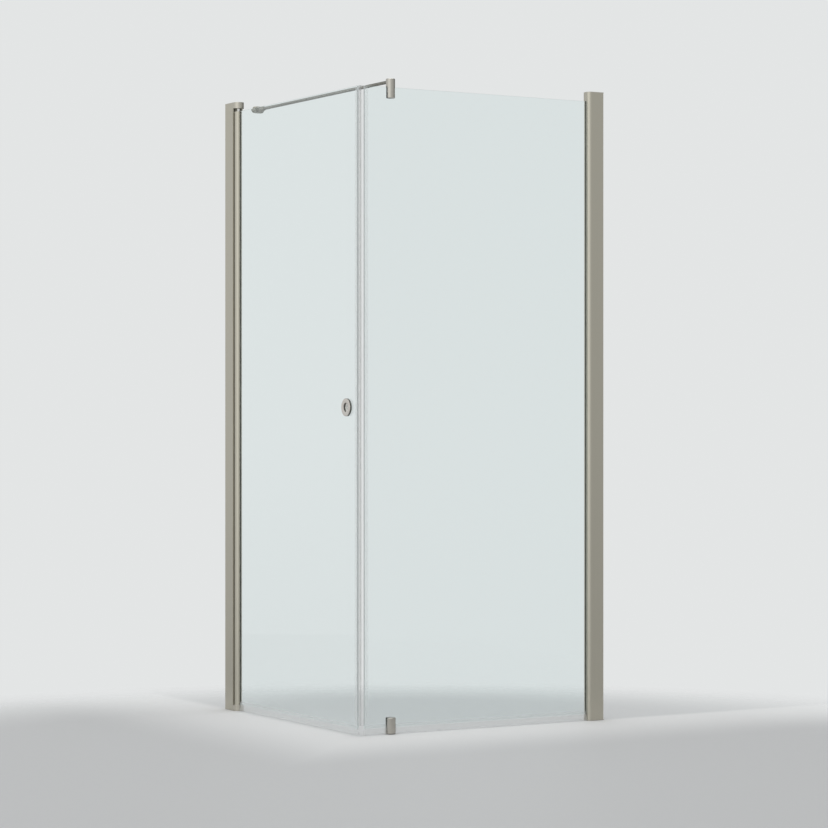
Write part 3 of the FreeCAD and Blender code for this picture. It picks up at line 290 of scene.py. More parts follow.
class Shader:
    """A node tree that is being written."""

    def __init__(self, tree):
        self.tree = tree
        tree.nodes.clear()

    def node(self, kind, settings=(), sockets=(), output=0):
        """Add a node: its settings first, then the values or links of its sockets."""
        made = self.tree.nodes.new(kind)
        for key, value in dict(settings).items():
            setattr(made, key, value)
        for key, value in dict(sockets).items():
            if isinstance(value, Socket):
                self.tree.links.new(value.socket, made.inputs[key])
            else:
                made.inputs[key].default_value = value
        return Socket(self, made.outputs[output])

    def math(self, operation, first, second=0.0):
        """One Math node."""
        return self.node("ShaderNodeMath", {"operation": operation}, {0: first, 1: second})

    def blend(self, share, first, second):
        """A colour between two colours, which go into sockets 6 and 7 and leave by socket 2."""
        ends = [end if isinstance(end, Socket) else (*end, 1) for end in (first, second)]
        return self.node("ShaderNodeMix", {"data_type": "RGBA"}, {0: share, 6: ends[0], 7: ends[1]}, 2)

    def place(self):
        """Place on the piece, in metres."""
        return self.node("ShaderNodeTexCoord", output="Object")

    def stretched(self, scale):
        """Place on the piece, scaled apart along its axes."""
        return self.node("ShaderNodeVectorMath", {"operation": "MULTIPLY"}, {0: self.place(), 1: scale})

    def along(self, axis):
        """One coordinate of the place on the piece."""
        return self.node("ShaderNodeSeparateXYZ", (), {0: self.place()}, axis)

    def grain(self, scale, detail=3.0):
        """Noise stretched by a scale for each axis."""
        return self.node("ShaderNodeTexNoise", (),
                         {"Vector": self.stretched(scale), "Scale": 1.0, "Detail": detail})

    def relief(self, height, strength, depth):
        """A normal from a height."""
        return self.node("ShaderNodeBump", (),
                         {"Height": height, "Strength": strength, "Distance": depth})

    def smooth_step(self, value, low, high):
        """0 below low, 1 above high and an easy curve between them."""
        return self.node("ShaderNodeMapRange", {"interpolation_type": "SMOOTHSTEP"},
                         {"Value": value, "From Min": low, "From Max": high})

    def principled(self, **sockets):
        """The shader of a surface, by the names of its sockets."""
        named = {key.replace("_", " "): value for key, value in sockets.items()}
        return self.node("ShaderNodeBsdfPrincipled", (), named)

    def surface(self, shader, output="ShaderNodeOutputMaterial"):
        """Join a shader to the output."""
        self.tree.links.new(shader.socket, self.tree.nodes.new(output).inputs["Surface"])


def new_finish(name):
    """A material and its tree."""
    material = bpy.data.materials.new(name)
    material.use_nodes = True
    return material, Shader(material.node_tree)


def drawn_metal(name, light, dark, roughness, scale,
                line_share=0.7, line_gloss=0.12, cloud_gloss=0.05, relief=0.08):
    """Satin metal with fine drawn lines. The scale is small along the lines and large across them."""
    material, shader = new_finish(name)
    lines = shader.grain(scale)
    cloud = shader.grain(DRAWN_CLOUD, CLOUD_DETAIL)
    shader.surface(shader.principled(
        Base_Color=shader.blend(lines * line_share + cloud * (1 - line_share), dark, light), Metallic=1.0,
        Roughness=roughness + (lines - GRAIN_MEAN) * line_gloss + (cloud - GRAIN_MEAN) * cloud_gloss,
        Normal=shader.relief(lines, relief, LINE_HEIGHT)))
    return material


def cast_metal(name, light, dark, roughness, grain_share=0.5, grain_gloss=0.15, relief=0.12):
    """Satin cast metal with a fine even grain."""
    material, shader = new_finish(name)
    grain = shader.grain(CAST_GRAIN)
    cloud = shader.grain(CAST_CLOUD, CLOUD_DETAIL)
    shader.surface(shader.principled(
        Base_Color=shader.blend(grain * grain_share + cloud * (1 - grain_share), dark, light), Metallic=1.0,
        Roughness=roughness + (grain - GRAIN_MEAN) * grain_gloss,
        Normal=shader.relief(grain, relief, CAST_HEIGHT)))
    return material


def ring_metal(name, c, face, seat, start=0.3 * MM, end=1.0 * MM,
               roughness=0.22, line_gloss=0.08, sleeve_gloss=0.2, relief=0.06):
    """Metal of the finger ring by depth.

    The face is satin, the turned sides behind it are painted dark as shade, and the sleeve is painted
    bright from the seat on, as light seen in the finger hole.
    """
    material, shader = new_finish(name)
    depth = shader.along(1)
    # side masks the turned sides behind the face, which get the painted shade colour.
    side = shader.smooth_step(depth, face + start, face + end)
    # inside masks the sleeve from the seat on, which gets the painted light colour.
    inside = shader.smooth_step(depth, seat, seat + end)
    lines = shader.grain(RING_LINES)
    satin = shader.blend(lines, c.ring_dark, c.ring_light)
    front = shader.blend(side, satin, c.ring_side)
    shader.surface(shader.principled(
        Base_Color=shader.blend(inside, front, c.sleeve), Metallic=1.0,
        Roughness=roughness + lines * line_gloss + inside * sleeve_gloss,
        Normal=shader.relief(lines, relief, LINE_HEIGHT)))
    return material


def pane_glass(name, c, axis, node,
               roughness=0.004, smear=0.01, index=1.5, ground_roughness=0.45, ground_spread=0.1):
    """Clear glass. The ground edges, which lie between the two faces of the pane, are pale and dull."""
    low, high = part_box(node)
    middle = (low[axis] + high[axis]) / 2
    half = (high[axis] - low[axis]) / 2
    material, shader = new_finish(name)
    ground = abs(shader.along(axis) - middle) < half - EASE
    cloud = shader.grain(GLASS_CLOUD, CLOUD_DETAIL)
    clear = shader.principled(
        Base_Color=(*c.glass_face, 1), Roughness=roughness + cloud * smear,
        Transmission_Weight=1.0, IOR=index)
    grain = shader.grain(GROUND_GRAIN)
    dull = shader.principled(
        Base_Color=shader.blend(grain, c.glass_edge, c.edge_cloud),
        Roughness=ground_roughness + grain * ground_spread)
    shader.surface(shader.node("ShaderNodeMixShader", (), {0: ground, 1: clear, 2: dull}))
    return material


def clear_strip(name, clear, cloudy, scale, density, line_density=0.05, side_density=0.28,
                roughness=0.16, line_gloss=0.14, index=1.46, relief=0.08):
    """Clear flexible strip with lines from its die.

    It is see-through where it faces the eye and denser where it turns away.
    """
    material, shader = new_finish(name)
    lines = shader.grain(scale)
    away = shader.node("ShaderNodeLayerWeight", (), {"Blend": 0.5}, "Facing")
    shader.surface(shader.principled(
        Base_Color=shader.blend(lines, clear, cloudy), Roughness=roughness + lines * line_gloss, IOR=index,
        Alpha=density + lines * line_density + away * away * side_density,
        Normal=shader.relief(lines, relief, LINE_HEIGHT)))
    return material


def dull_plain(name, light, dark, roughness, grain_scale, spread=0.2, relief=0.15):
    """Rubber, bonded magnet or bearing plastic with a fine grain."""
    material, shader = new_finish(name)
    grain = shader.grain((grain_scale,) * 3)
    shader.surface(shader.principled(
        Base_Color=shader.blend(grain, dark, light), Roughness=roughness + (grain - GRAIN_MEAN) * spread,
        Normal=shader.relief(grain, relief, LINE_HEIGHT)))
    return material


def dress(material, *nodes):
    """Put a material on solids."""
    for name in nodes:
        for holder in frame["nodes"][name].material_slots:
            holder.material = material


def turned(profile, segments):
    """A profile of radius r and height h turned about Z: x = r cos t, y = r sin t, z = h."""
    profile = np.asarray(profile, float)
    turn = np.arange(segments) * FULL_TURN / segments
    radius = profile[:, :1]
    height = np.broadcast_to(profile[:, 1:], (len(profile), segments))
    return np.stack([radius * np.cos(turn), radius * np.sin(turn), height], -1)


def cells(rows, columns, close_rows):
    """Corner numbers of a grid's cells. Columns close on themselves, and rows where asked."""
    first_rows = np.arange(rows if close_rows else rows - 1)
    row, column = np.meshgrid(first_rows, np.arange(columns), indexing="ij")
    next_row, next_column = (row + 1) % rows, (column + 1) % columns
    corners = (row * columns + column, row * columns + next_column,
               next_row * columns + next_column, next_row * columns + column)
    return np.stack(corners, -1).reshape(-1, 4)


def arc(centre, radius, start, end, steps):
    """Points of an arc: centre + radius (cos a, sin a) for angles a from start to end in degrees."""
    angle = np.radians(np.linspace(start, end, steps))
    return np.stack([centre[0] + radius * np.cos(angle), centre[1] + radius * np.sin(angle)], -1)


def facing(points, axis, spot):
    """Turn points so that local Z runs along a level or upright axis, then move them to a spot."""
    z = np.asarray(axis, float)
    x = np.array([1.0, 0.0, 0.0]) if z[2] else np.array([0.0, 0.0, 1.0])
    y = np.cross(z, x)
    return points @ np.stack([x, y, z]) + np.asarray(spot, float)


def build(name, grids, body, material, nodes, caps=()):
    """One piece from grids of points, each with whether its rows close.

    Doubles merge, the rows that caps names are closed flat and faces turn outwards.
    """
    points, faces, start = [], [], 0
    for grid, close_rows in grids:
        rows, columns = grid.shape[:2]
        points.append(grid.reshape(-1, 3))
        faces += (cells(rows, columns, close_rows) + start).tolist()
        for row in caps:
            faces.append((np.arange(columns) + start + (row % rows) * columns).tolist())
        start += rows * columns
    mesh = bpy.data.meshes.new(name)
    mesh.from_pydata(np.concatenate(points).tolist(), [], faces)
    work = bmesh.new()
    work.from_mesh(mesh)
    bmesh.ops.remove_doubles(work, verts=work.verts, dist=MERGED)
    bmesh.ops.dissolve_degenerate(work, edges=work.edges, dist=FLAT)
    bmesh.ops.recalc_face_normals(work, faces=work.faces)
    work.to_mesh(mesh)
    work.free()
    mesh.polygons.foreach_set("use_smooth", np.ones(len(mesh.polygons), bool))
    mesh.set_sharp_from_angle(angle=SHARP)
    mesh.materials.append(material)
    piece = bpy.data.objects.new(name, mesh)
    bpy.context.scene.collection.objects.link(piece)
    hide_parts(*nodes)
    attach(piece, body)


def ramp(value):
    """Values held between 0 and 1."""
    return np.clip(value, 0, 1)


def cross_sink(x, y, sizes):
    """Depth of a cross recess: full where the nearer axis is within half its width, fading at its ends."""
    near = np.minimum(abs(x), abs(y))
    far = np.maximum(abs(x), abs(y))
    soft = 0.12 * MM
    across = ramp((sizes.cross_width / 2 - near) / soft)
    return sizes.cross_depth * across * ramp((sizes.cross_reach - far) / soft)


def hex_sink(x, y, sizes):
    """Depth of a hexagon socket: full where the widest of the three flat distances is inside it."""
    lean = math.sqrt(3) / 2
    soft = 0.08 * MM
    wide = np.maximum(abs(x), np.maximum(abs(x / 2 + y * lean), abs(x / 2 - y * lean)))
    return sizes.hex_depth * ramp((sizes.hex_width / 2 - wide) / soft)


def headed(profile, face_radius, face_height, sink, sizes):
    """A turned screw whose flat or domed face, from its rim to the middle, is lowered by a recess."""
    share = np.linspace(1, 0, FACE_ROWS)[1:]
    face = np.stack([face_radius * share, face_height(share)], -1)
    points = turned(np.concatenate([profile, face]), SCREW_SIDES)
    top = points[len(profile):]
    top[..., 2] -= sink(top[..., 0], top[..., 1], sizes)
    return points


class SCREEN_OT_profiles(bpy.types.Operator):
    """Finish the drawn wall profiles, the hinge tube and the cast end caps"""
    bl_idname = "screen.profiles"
    bl_label = "Profiles and caps"

    def execute(self, context):
        c = context.scene.screen_colours
        drawn = drawn_metal("drawn_nickel", c.nickel_light, c.nickel_dark, roughness=0.34, scale=UPRIGHT)
        dress(drawn, "door_wall_channel", "door_cover_profile", "panel_wall_channel", "panel_cover_profile",
              "hinge_tube")
        cast = cast_metal("cast_nickel", c.cap_light, c.cap_dark, roughness=0.36)
        dress(cast, "hinge_top_cap", "hinge_bottom_cap", "panel_top_cap", "panel_bottom_cap")
        return {"FINISHED"}


class SCREEN_OT_hinge(bpy.types.Operator):
    """Finish the hinge pins, the bush and the lift cams"""
    bl_idname = "screen.hinge"
    bl_label = "Hinge"

    def execute(self, context):
        c = context.scene.screen_colours
        steel = drawn_metal("pin_steel", c.steel_light, c.steel_dark, roughness=0.24, scale=TURNED_LINES)
        dress(steel, "hinge_top_pin", "hinge_bottom_pin")
        plastic = dull_plain(
            "bearing_plastic", c.bearing_light, c.bearing_dark, roughness=0.42, grain_scale=900)
        dress(plastic, "hinge_lower_cam", "hinge_upper_cam", "hinge_top_bush")
        return {"FINISHED"}


class SCREEN_OT_panes(bpy.types.Operator):
    """Finish the two panes, which let the light through to the floor"""
    bl_idname = "screen.panes"
    bl_label = "Panes"

    def execute(self, context):
        c = context.scene.screen_colours
        for name, across, node in (("door_pane", 1, "door_glass"), ("fixed_pane", 0, "panel_glass")):
            dress(pane_glass(name, c, across, node), node)
            pane = frame["nodes"][node]
            pane.visible_shadow = False
            pane.visible_diffuse = False
        return {"FINISHED"}


class SCREEN_OT_strips(bpy.types.Operator):
    """Finish the clear strips, the magnets, the gaskets and the liners"""
    bl_idname = "screen.strips"
    bl_label = "Strips and gaskets"

    def execute(self, context):
        c = context.scene.screen_colours
        strip = clear_strip(
            "clear_edge_strip", c.strip_clear, c.strip_cloudy, scale=STRIP_UPRIGHT, density=0.06)
        dress(strip, "door_edge_seal", "panel_edge_seal")
        # Near-black liners and washers: painted shade in the slits and round the ring.
        liner = clear_strip("smoky_liner", c.liner_light, c.liner_dark, scale=LINER_GRAIN, density=0.85)
        dress(liner, "grip_gaskets", "stay_clamp_liner", "floor_clamp_liner", "floor_clamp_pad")
        magnet = dull_plain("bonded_magnet", c.magnet_light, c.magnet_dark, roughness=0.55, grain_scale=700)
        dress(magnet, "door_edge_magnet", "panel_edge_magnet")
        rubber = dull_plain("dark_rubber", c.rubber_light, c.rubber_dark, roughness=0.55, grain_scale=600)
        dress(rubber, "hinge_seal_strip", "hinge_glazing_gasket", "panel_glazing_gaskets")
        return {"FINISHED"}


class SCREEN_OT_fittings(bpy.types.Operator):
    """Finish the stay, its wall socket and both clamps"""
    bl_idname = "screen.fittings"
    bl_label = "Stay and clamps"

    def execute(self, context):
        c = context.scene.screen_colours
        # Darker nickel than the clamps: painted shade on the bar.
        bar = drawn_metal("fitting_nickel_bar", c.bar_light, c.bar_dark, roughness=0.26, scale=ALONG_X)
        dress(bar, "stay_bar")
        # Darkened nickel on the wall collar: painted shade.
        collar = drawn_metal("fitting_nickel_collar", c.end_light, c.end_dark, roughness=0.3, scale=ALONG_X)
        dress(collar, "stay_wall_socket")
        post = drawn_metal(
            "fitting_nickel_post", c.fitting_light, c.fitting_dark, roughness=0.24, scale=TURNED_LINES)
        dress(post, "stay_clamp", "floor_clamp")
        return {"FINISHED"}


class SCREEN_OT_ring(bpy.types.Operator):
    """Make the finger ring with fine rounded edges"""
    bl_idname = "screen.ring"
    bl_label = "Finger ring"

    def execute(self, context):
        c = context.scene.screen_colours
        sizes = context.scene.screen_sizes
        low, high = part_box("grip_ring_outer")
        inner_low, inner_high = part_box("grip_ring_inner")
        rim = (high.x - low.x) / 2
        middle = ((low.x + high.x) / 2, 0.0, (low.z + high.z) / 2)
        edge, bore = sizes.ring_edge, sizes.ring_bore
        sleeve = bore + sizes.ring_sleeve
        seat = -low.y - sizes.ring_flange
        nut = (inner_high.x - inner_low.x) / 2
        metal = ring_metal("fitting_nickel_ring", c, low.y, -seat)
        outer = np.concatenate([
            [(bore, -high.y), (sleeve, -high.y), (sleeve, seat), (rim, seat)],
            arc((rim - edge, -low.y - edge), edge, 0, 90, EDGE_STEPS),
            arc((bore + edge, -low.y - edge), edge, 90, 180, EDGE_STEPS),
            [(bore, seat)],
        ])
        inner = np.concatenate([
            [(sleeve + EASE, -inner_low.y), (sleeve + EASE, -inner_high.y)],
            arc((nut - edge, -inner_high.y + edge), edge, 270, 360, EDGE_STEPS),
            [(nut, -inner_low.y)],
        ])
        for name, profile, node in (("finger_ring_outer", outer, "grip_ring_outer"),
                                    ("finger_ring_inner", inner, "grip_ring_inner")):
            points = facing(turned(profile, RING_SIDES), (0, -1, 0), middle)
            build(name, [(points, True)], "door", metal, [node])
        return {"FINISHED"}


class SCREEN_OT_rosette(bpy.types.Operator):
    """Make the oval rosette as a soft dome"""
    bl_idname = "screen.rosette"
    bl_label = "Rosette"

    def execute(self, context):
        c = context.scene.screen_colours
        sizes = context.scene.screen_sizes
        low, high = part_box("stay_wall_cover")
        deep, wide, long = high.x - low.x, (high.z - low.z) / 2, (high.y - low.y) / 2
        wall, eye = sizes.rosette_wall, sizes.rosette_eye
        turn = np.arange(ROSETTE_SIDES) * FULL_TURN / ROSETTE_SIDES
        compass = np.stack([np.cos(turn), np.sin(turn)], -1)
        bluntness = 4
        straight = np.stack([np.tanh(compass[:, 0] * bluntness) * (long - wide), np.zeros_like(turn)], -1)

        def row(bend, inset):
            """A row of the dome: share sin(bend)^(2/3) of the way from eye to oval, height depth cos(bend).

            The oval is a circle whose halves move apart by tanh(bluntness cos(turn)).
            """
            share = math.sin(bend) ** (2 / 3)
            flat = (straight + compass * (wide - inset)) * share + compass * eye * (1 - share)
            return np.concatenate([flat, np.full((len(turn), 1), (deep - inset) * math.cos(bend))], -1)

        bends = np.radians(np.linspace(0, 90, ROSETTE_ROWS))
        rows = [row(bend, 0) for bend in bends] + [row(bend, wall) for bend in bends[::-1]]
        points = np.stack(rows)
        points = np.stack([low.x + points[..., 2], points[..., 0] + (low.y + high.y) / 2,
                           points[..., 1] + (low.z + high.z) / 2], -1)
        # Darkened nickel on the rosette: painted shade.
        metal = cast_metal("fitting_nickel_rosette", c.end_light, c.end_dark, roughness=0.32)
        build("rosette", [(points, True)], "frame", metal, ["stay_wall_cover"])
        return {"FINISHED"}


class SCREEN_OT_screws(bpy.types.Operator):
    """Make the cap screws, lock screws and grub screws with their recesses"""
    bl_idname = "screen.screws"
    bl_label = "Screws"

    def execute(self, context):
        c = context.scene.screen_colours
        sizes = context.scene.screen_sizes
        steel = drawn_metal("screw_steel", c.steel_light, c.steel_dark, roughness=0.26, scale=SCREW_GRAIN)
        build("cap_screws", self.cap_screws(sizes), "frame", steel, ["end_cap_screws"])
        build("lock_screws", self.lock_screws(sizes), "frame", steel, ["profile_lock_screws"])
        build("stay_set_screws", self.stay_grubs(sizes), "frame", steel, ["stay_grub_screws"])
        build("floor_set_screws", self.floor_grubs(sizes), "frame", steel, ["floor_grub_screws"])
        return {"FINISHED"}

    def cap_screws(self, sizes):
        """Countersunk screws: a shank, a cone and a flat face with a cross."""
        low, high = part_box("end_cap_screws")
        shank, head, deep, long = 1.65 * MM, 3.4 * MM, 2 * MM, 16 * MM
        tip, tip_share, rim, apart = 0.6 * MM, 0.7, 0.1 * MM, 10 * MM
        profile = np.array([(0, -long), (shank * tip_share, -long), (shank, -long + tip), (shank, -deep),
                            (head, -rim), (head, 0)])
        screw = headed(profile, head, np.zeros_like, cross_sink, sizes)
        door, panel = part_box("door_cover_profile"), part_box("panel_cover_profile")
        door_middle = (door[0].y + door[1].y) / 2
        panel_middle = (panel[0].x + panel[1].x) / 2
        spots = [(low.x + head, door_middle + step * apart) for step in (-1, 1)]
        spots += [(panel_middle + step * apart, high.y - head) for step in (-1, 1)]
        ends = ((low.z, -1), (high.z, 1))
        return [(facing(screw, (0, 0, up), (x, y, z)), False) for x, y in spots for z, up in ends]

    def lock_screws(self, sizes):
        """Pan head screws: a shank and a domed head, h = height (1 - share^4 / 2), with a cross."""
        low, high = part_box("profile_lock_screws")
        shank, head, tall, reach = 1.7 * MM, 3.5 * MM, 2.2 * MM, 4.2 * MM
        profile = np.array([(0, -reach), (shank, -reach), (shank, 0), (head, 0), (head, tall / 2)])
        screw = headed(profile, head, lambda share: tall * (1 - share ** 4 / 2), cross_sink, sizes)
        door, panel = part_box("door_cover_profile"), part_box("panel_cover_profile")
        heights = [low.z + head, (low.z + high.z) / 2, high.z - head]
        spots = [((0, 1, 0), (low.x + head, door[1].y, z)) for z in heights]
        spots += [((-1, 0, 0), (panel[0].x, high.y - head, z)) for z in heights]
        return [(facing(screw, axis, spot), False) for axis, spot in spots]

    def grub(self, sizes, long):
        """Threaded screw: r = R - depth (1 - cos(2 pi z / pitch - turn)) / 2, with a hexagon socket.

        Over the last turn below the socket the crest slopes down to the root, which makes the chamfer.
        """
        rows = max(int(long / sizes.thread_pitch * THREAD_ROWS), THREAD_ROWS)
        height = np.linspace(-long, 0, rows)
        profile = np.stack([np.full_like(height, GRUB_RADIUS), height], -1)
        profile = np.concatenate([[(0, -long)], profile])
        screw = headed(profile, GRUB_RADIUS - sizes.thread_depth, np.zeros_like, hex_sink, sizes)
        side = screw[1:len(profile)]
        turn = np.arctan2(side[..., 1], side[..., 0])
        height = side[..., 2] / sizes.thread_pitch
        wave = np.maximum((1 - np.cos(height * FULL_TURN - turn)) / 2, ramp(1 + height))
        side[..., :2] *= (1 - wave * sizes.thread_depth / GRUB_RADIUS)[..., None]
        return screw

    def stay_grubs(self, sizes):
        """One screw on the glass, one on the bar in the post and one on the bar in the wall collar."""
        low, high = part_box("stay_clamp")
        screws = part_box("stay_grub_screws")
        middle = ((low.x + high.x) / 2, (low.y + high.y) / 2)
        glass_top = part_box("panel_glass")[1].z
        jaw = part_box("stay_clamp_liner")[0].x - low.x
        bar_wall = 3 * MM
        spots = (
            (jaw, (-1, 0, 0), (low.x, middle[1], (low.z + glass_top) / 2)),
            (bar_wall, (0, 0, 1), (middle[0], middle[1], high.z)),
            (bar_wall, (0, 0, 1), (screws[0].x + GRUB_RADIUS, middle[1], high.z)),
        )
        return [(facing(self.grub(sizes, long), axis, spot), False) for long, axis, spot in spots]

    def floor_grubs(self, sizes):
        """Two screws beside each other in the floor clamp."""
        low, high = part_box("floor_grub_screws")
        screw = self.grub(sizes, high.x - low.x)
        z = (low.z + high.z) / 2
        places = (low.y + GRUB_RADIUS, high.y - GRUB_RADIUS)
        return [(facing(screw, (-1, 0, 0), (low.x, y, z)), False) for y in places]


class SCREEN_OT_drip_strips(bpy.types.Operator):
    """Make the bottom strips with curved fins"""
    bl_idname = "screen.drip_strips"
    bl_label = "Bottom strips"

    def execute(self, context):
        c = context.scene.screen_colours
        sizes = context.scene.screen_sizes
        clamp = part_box("floor_clamp")
        gap, density = 0.5 * MM, 0.1
        low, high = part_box("door_bottom_seal")
        material = clear_strip("clear_door_drip", c.strip_clear, c.strip_cloudy, STRIP_ALONG_X, density)
        section = self.section((low.y + high.y) / 2, low.z, high.z, sizes.drip_spread)
        points = np.stack([np.insert(section, 0, x, 1) for x in (low.x, high.x)])
        build("door_drip_strip", [(points, False)], "door", material, ["door_bottom_seal"],
              caps=(0, -1))
        low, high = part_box("panel_bottom_seal")
        material = clear_strip("clear_panel_drip", c.strip_clear, c.strip_cloudy, STRIP_ALONG_Y, density)
        section = self.section((low.x + high.x) / 2, low.z, high.z, sizes.drip_spread)
        spans = ((low.y, clamp[0].y - gap), (clamp[1].y + gap, high.y))
        grids = [(np.stack([np.insert(section, 1, y, 1) for y in span]), False) for span in spans]
        build("panel_drip_strips", grids, "frame", material, ["panel_bottom_seal"],
              caps=(0, -1))
        return {"FINISHED"}

    def section(self, middle, low, high, spread):
        """Two legs on the glass and two fins that curve out.

        A fin's outside is v = leg + spread s^curl, for s from 0 under the glass to 1 at its lip.
        """
        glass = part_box("door_glass")[0].z
        half, floor, leg, under = 3.05 * MM, glass - EASE, 4 * MM, glass - 1.5 * MM
        root, taper, curl = 1.0 * MM, 0.35 * MM, 1.7
        bevel, drop = 0.3 * MM, 0.5 * MM
        top = [(half, floor), (half, high), (leg - bevel, high), (leg, high - drop)]
        s = np.linspace(0, 1, FIN_STEPS)
        out = leg + spread * s ** curl
        height = under + (low - under) * s
        outer = np.stack([out, height], -1)
        inner = np.stack([out - root + taper * s, height], -1)[::-1]
        right = np.concatenate([top, outer, inner])
        left = right[::-1] * (-1, 1)
        return np.concatenate([right, left]) + (middle, 0)


class SCREEN_OT_stage(bpy.types.Operator):
    """Make the floor, the light and the camera"""
    bl_idname = "screen.stage"
    bl_label = "Stage"

    def execute(self, context):
        scene = context.scene
        stage = scene.screen_stage
        scene.view_settings.view_transform = "Standard"
        self.make_floor(scene, stage)
        self.make_sky(scene, stage)
        for name, (place, target, side) in LAMPS.items():
            self.make_lamp(scene, name, getattr(stage, name), place, target, side)
        view = bpy.data.cameras.new("photo_view")
        view.lens = stage.focal
        view.sensor_width = SENSOR_WIDTH
        view.shift_y = stage.rise
        view.clip_end = FARTHEST
        camera = bpy.data.objects.new("photo_view", view)
        camera.location = stage.eye
        camera.rotation_euler = (math.pi / 2, 0, stage.heading)
        scene.collection.objects.link(camera)
        scene.camera = camera
        return {"FINISHED"}

    def make_floor(self, scene, stage):
        """Flat disc, x = r cos t and y = r sin t, that fades into the background.

        It fades soonest behind the object, has a painted pool of light just before the panes and painted
        shade towards the camera.
        """
        points = turned([(radius, FLOOR_LEVEL) for radius in FLOOR_RADII], FLOOR_SIDES)
        faces = cells(len(FLOOR_RADII), FLOOR_SIDES, False)
        mesh = bpy.data.meshes.new("floor")
        mesh.from_pydata(points.reshape(-1, 3).tolist(), [], faces.tolist())
        work = bmesh.new()
        work.from_mesh(mesh)
        bmesh.ops.remove_doubles(work, verts=work.verts, dist=MERGED)
        work.to_mesh(mesh)
        work.free()
        material, shader = new_finish("pale_floor")
        x, y = shader.along(0), shader.along(1)
        ahead = x * math.sin(stage.heading) - y * math.cos(stage.heading)
        reach = shader.math("SQRT", x * x + y * y)
        fade = shader.math("MAXIMUM", shader.smooth_step(reach - ahead, *FADE_BEHIND),
                           shader.smooth_step(reach, *FADE_ROUND))
        outside = shader.math("MAXIMUM", x, 0.0 - y)
        # Painted pool of light just before the panes, then painted shade towards the camera.
        before = shader.smooth_step(outside, *LIT_BAND_LINE)
        tone = shader.blend(before, stage.floor_inside, stage.floor_before)
        tone = shader.blend(shader.smooth_step(outside, *FRONT_SHADE), tone, stage.floor_front)
        roughness, spread = 0.55, 0.1
        lit = shader.principled(
            Base_Color=tone, Roughness=roughness + shader.grain(FLOOR_GRAIN) * spread)
        clear = shader.node("ShaderNodeBsdfTransparent")
        shader.surface(shader.node("ShaderNodeMixShader", (), {0: fade, 1: lit, 2: clear}))
        mesh.materials.append(material)
        floor = bpy.data.objects.new("floor", mesh)
        scene.collection.objects.link(floor)

    def make_sky(self, scene, stage):
        """Even light, and the pale background where camera, reflection or glass look past the object.

        Mirrored in metal, it is brighter in front of the door, dimmer behind the object and dimmer below.
        """
        sky = bpy.data.worlds.new("even_sky")
        sky.use_nodes = True
        shader = Shader(sky.node_tree)
        direct, glossy, through = [shader.node("ShaderNodeLightPath", output=f"Is {kind} Ray")
                                   for kind in ("Camera", "Glossy", "Transmission")]
        seen = shader.math("MINIMUM", direct + glossy + through, 1.0)
        light = shader.node("ShaderNodeBackground", (), {"Color": (1, 1, 1, 1), "Strength": stage.sky})
        mirrored = glossy * (1.0 - through)
        far = shader.smooth_step(self.towards(shader, stage.dim_heading), *FAR_LOBE)
        front = shader.smooth_step(self.towards(shader, stage.glow_heading), *FRONT_LOBE)
        fall = -1.0 * shader.node("ShaderNodeSeparateXYZ", (), {0: self.way(shader)}, "Z")
        low = shader.smooth_step(fall, *LOW_FALL)
        bright = [value * (1 + stage.front_glow) for value in stage.background]
        tone = shader.blend(mirrored * front, stage.background, bright)
        for share in (far * stage.far_dim, low * stage.low_dim):
            tone = shader.blend(mirrored * share, tone, (0, 0, 0))
        pale = shader.node("ShaderNodeBackground", (), {"Color": tone, "Strength": 1.0})
        shader.surface(shader.node("ShaderNodeMixShader", (), {0: seen, 1: light, 2: pale}),
                       "ShaderNodeOutputWorld")
        scene.world = sky

    def way(self, shader):
        """Direction of a ray that leaves the scene."""
        return shader.node("ShaderNodeTexCoord", output="Generated")

    def towards(self, shader, heading):
        """How much a ray runs along a level heading: 1 along it, -1 against it."""
        along = (-math.sin(heading), math.cos(heading), 0.0)
        return shader.node("ShaderNodeVectorMath", {"operation": "DOT_PRODUCT"},
                           {0: self.way(shader), 1: along}, "Value")

    def make_lamp(self, scene, name, power, place, target, side):
        """A large square lamp that looks at a target and is not seen through glass."""
        lamp = bpy.data.lights.new(name, "AREA")
        lamp.energy = power
        lamp.size = side
        holder = bpy.data.objects.new(name, lamp)
        aim = np.subtract(target, place)
        tilt = math.acos(-aim[2] / np.linalg.norm(aim))
        heading = math.atan2(aim[1], aim[0]) - math.pi / 2
        holder.location = place
        holder.rotation_euler = (tilt, 0, heading)
        holder.visible_transmission = False
        scene.collection.objects.link(holder)


class SCREEN_PT_sidebar(bpy.types.Panel):
    """Lists the steps and the values that they use"""
    bl_idname = "SCREEN_PT_sidebar"
    bl_label = "Shower screen"
    bl_space_type = "VIEW_3D"
    bl_region_type = "UI"
    bl_category = "Shower screen"

    def draw(self, context):
        for step in STEPS:
            self.layout.operator(step.bl_idname)
        for group in GROUPS:
            values = getattr(context.scene, group)
            for name in values.bl_rna.properties.keys():
                if name not in ("name", "rna_type"):
                    self.layout.prop(values, name)


STEPS = (SCREEN_OT_profiles, SCREEN_OT_hinge, SCREEN_OT_panes, SCREEN_OT_strips, SCREEN_OT_fittings,
         SCREEN_OT_ring, SCREEN_OT_rosette, SCREEN_OT_screws, SCREEN_OT_drip_strips, SCREEN_OT_stage)
GROUPS = {"screen_colours": ScreenColours, "screen_sizes": ScreenSizes, "screen_stage": ScreenStage}


def register():
    """Register the classes and hang the values on the scene."""
    for name, group in GROUPS.items():
        bpy.utils.register_class(group)
        setattr(bpy.types.Scene, name, bpy.props.PointerProperty(type=group))
    for step in STEPS + (SCREEN_PT_sidebar,):
        bpy.utils.register_class(step)


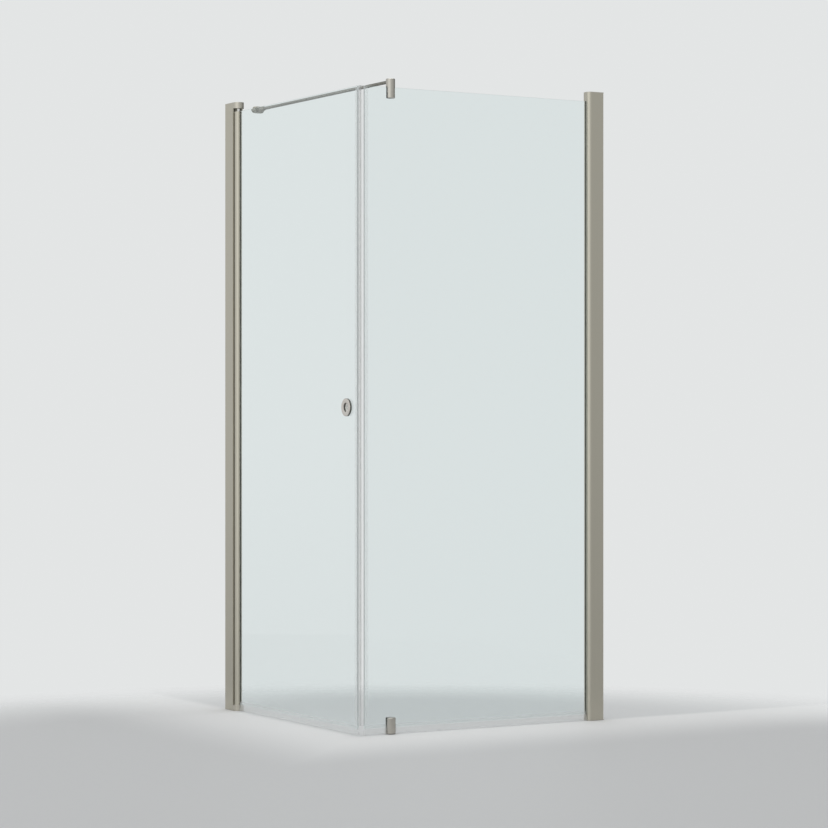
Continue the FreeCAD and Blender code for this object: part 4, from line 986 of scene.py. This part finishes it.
def unregister():
    """Undo register."""
    for step in (SCREEN_PT_sidebar,) + STEPS[::-1]:
        bpy.utils.unregister_class(step)
    for name, group in GROUPS.items():
        delattr(bpy.types.Scene, name)
        bpy.utils.unregister_class(group)


def main():
    register()
    for step in STEPS:
        space, name = step.bl_idname.split(".")
        getattr(getattr(bpy.ops, space), name)()


if __name__ == "__main__":
    main()
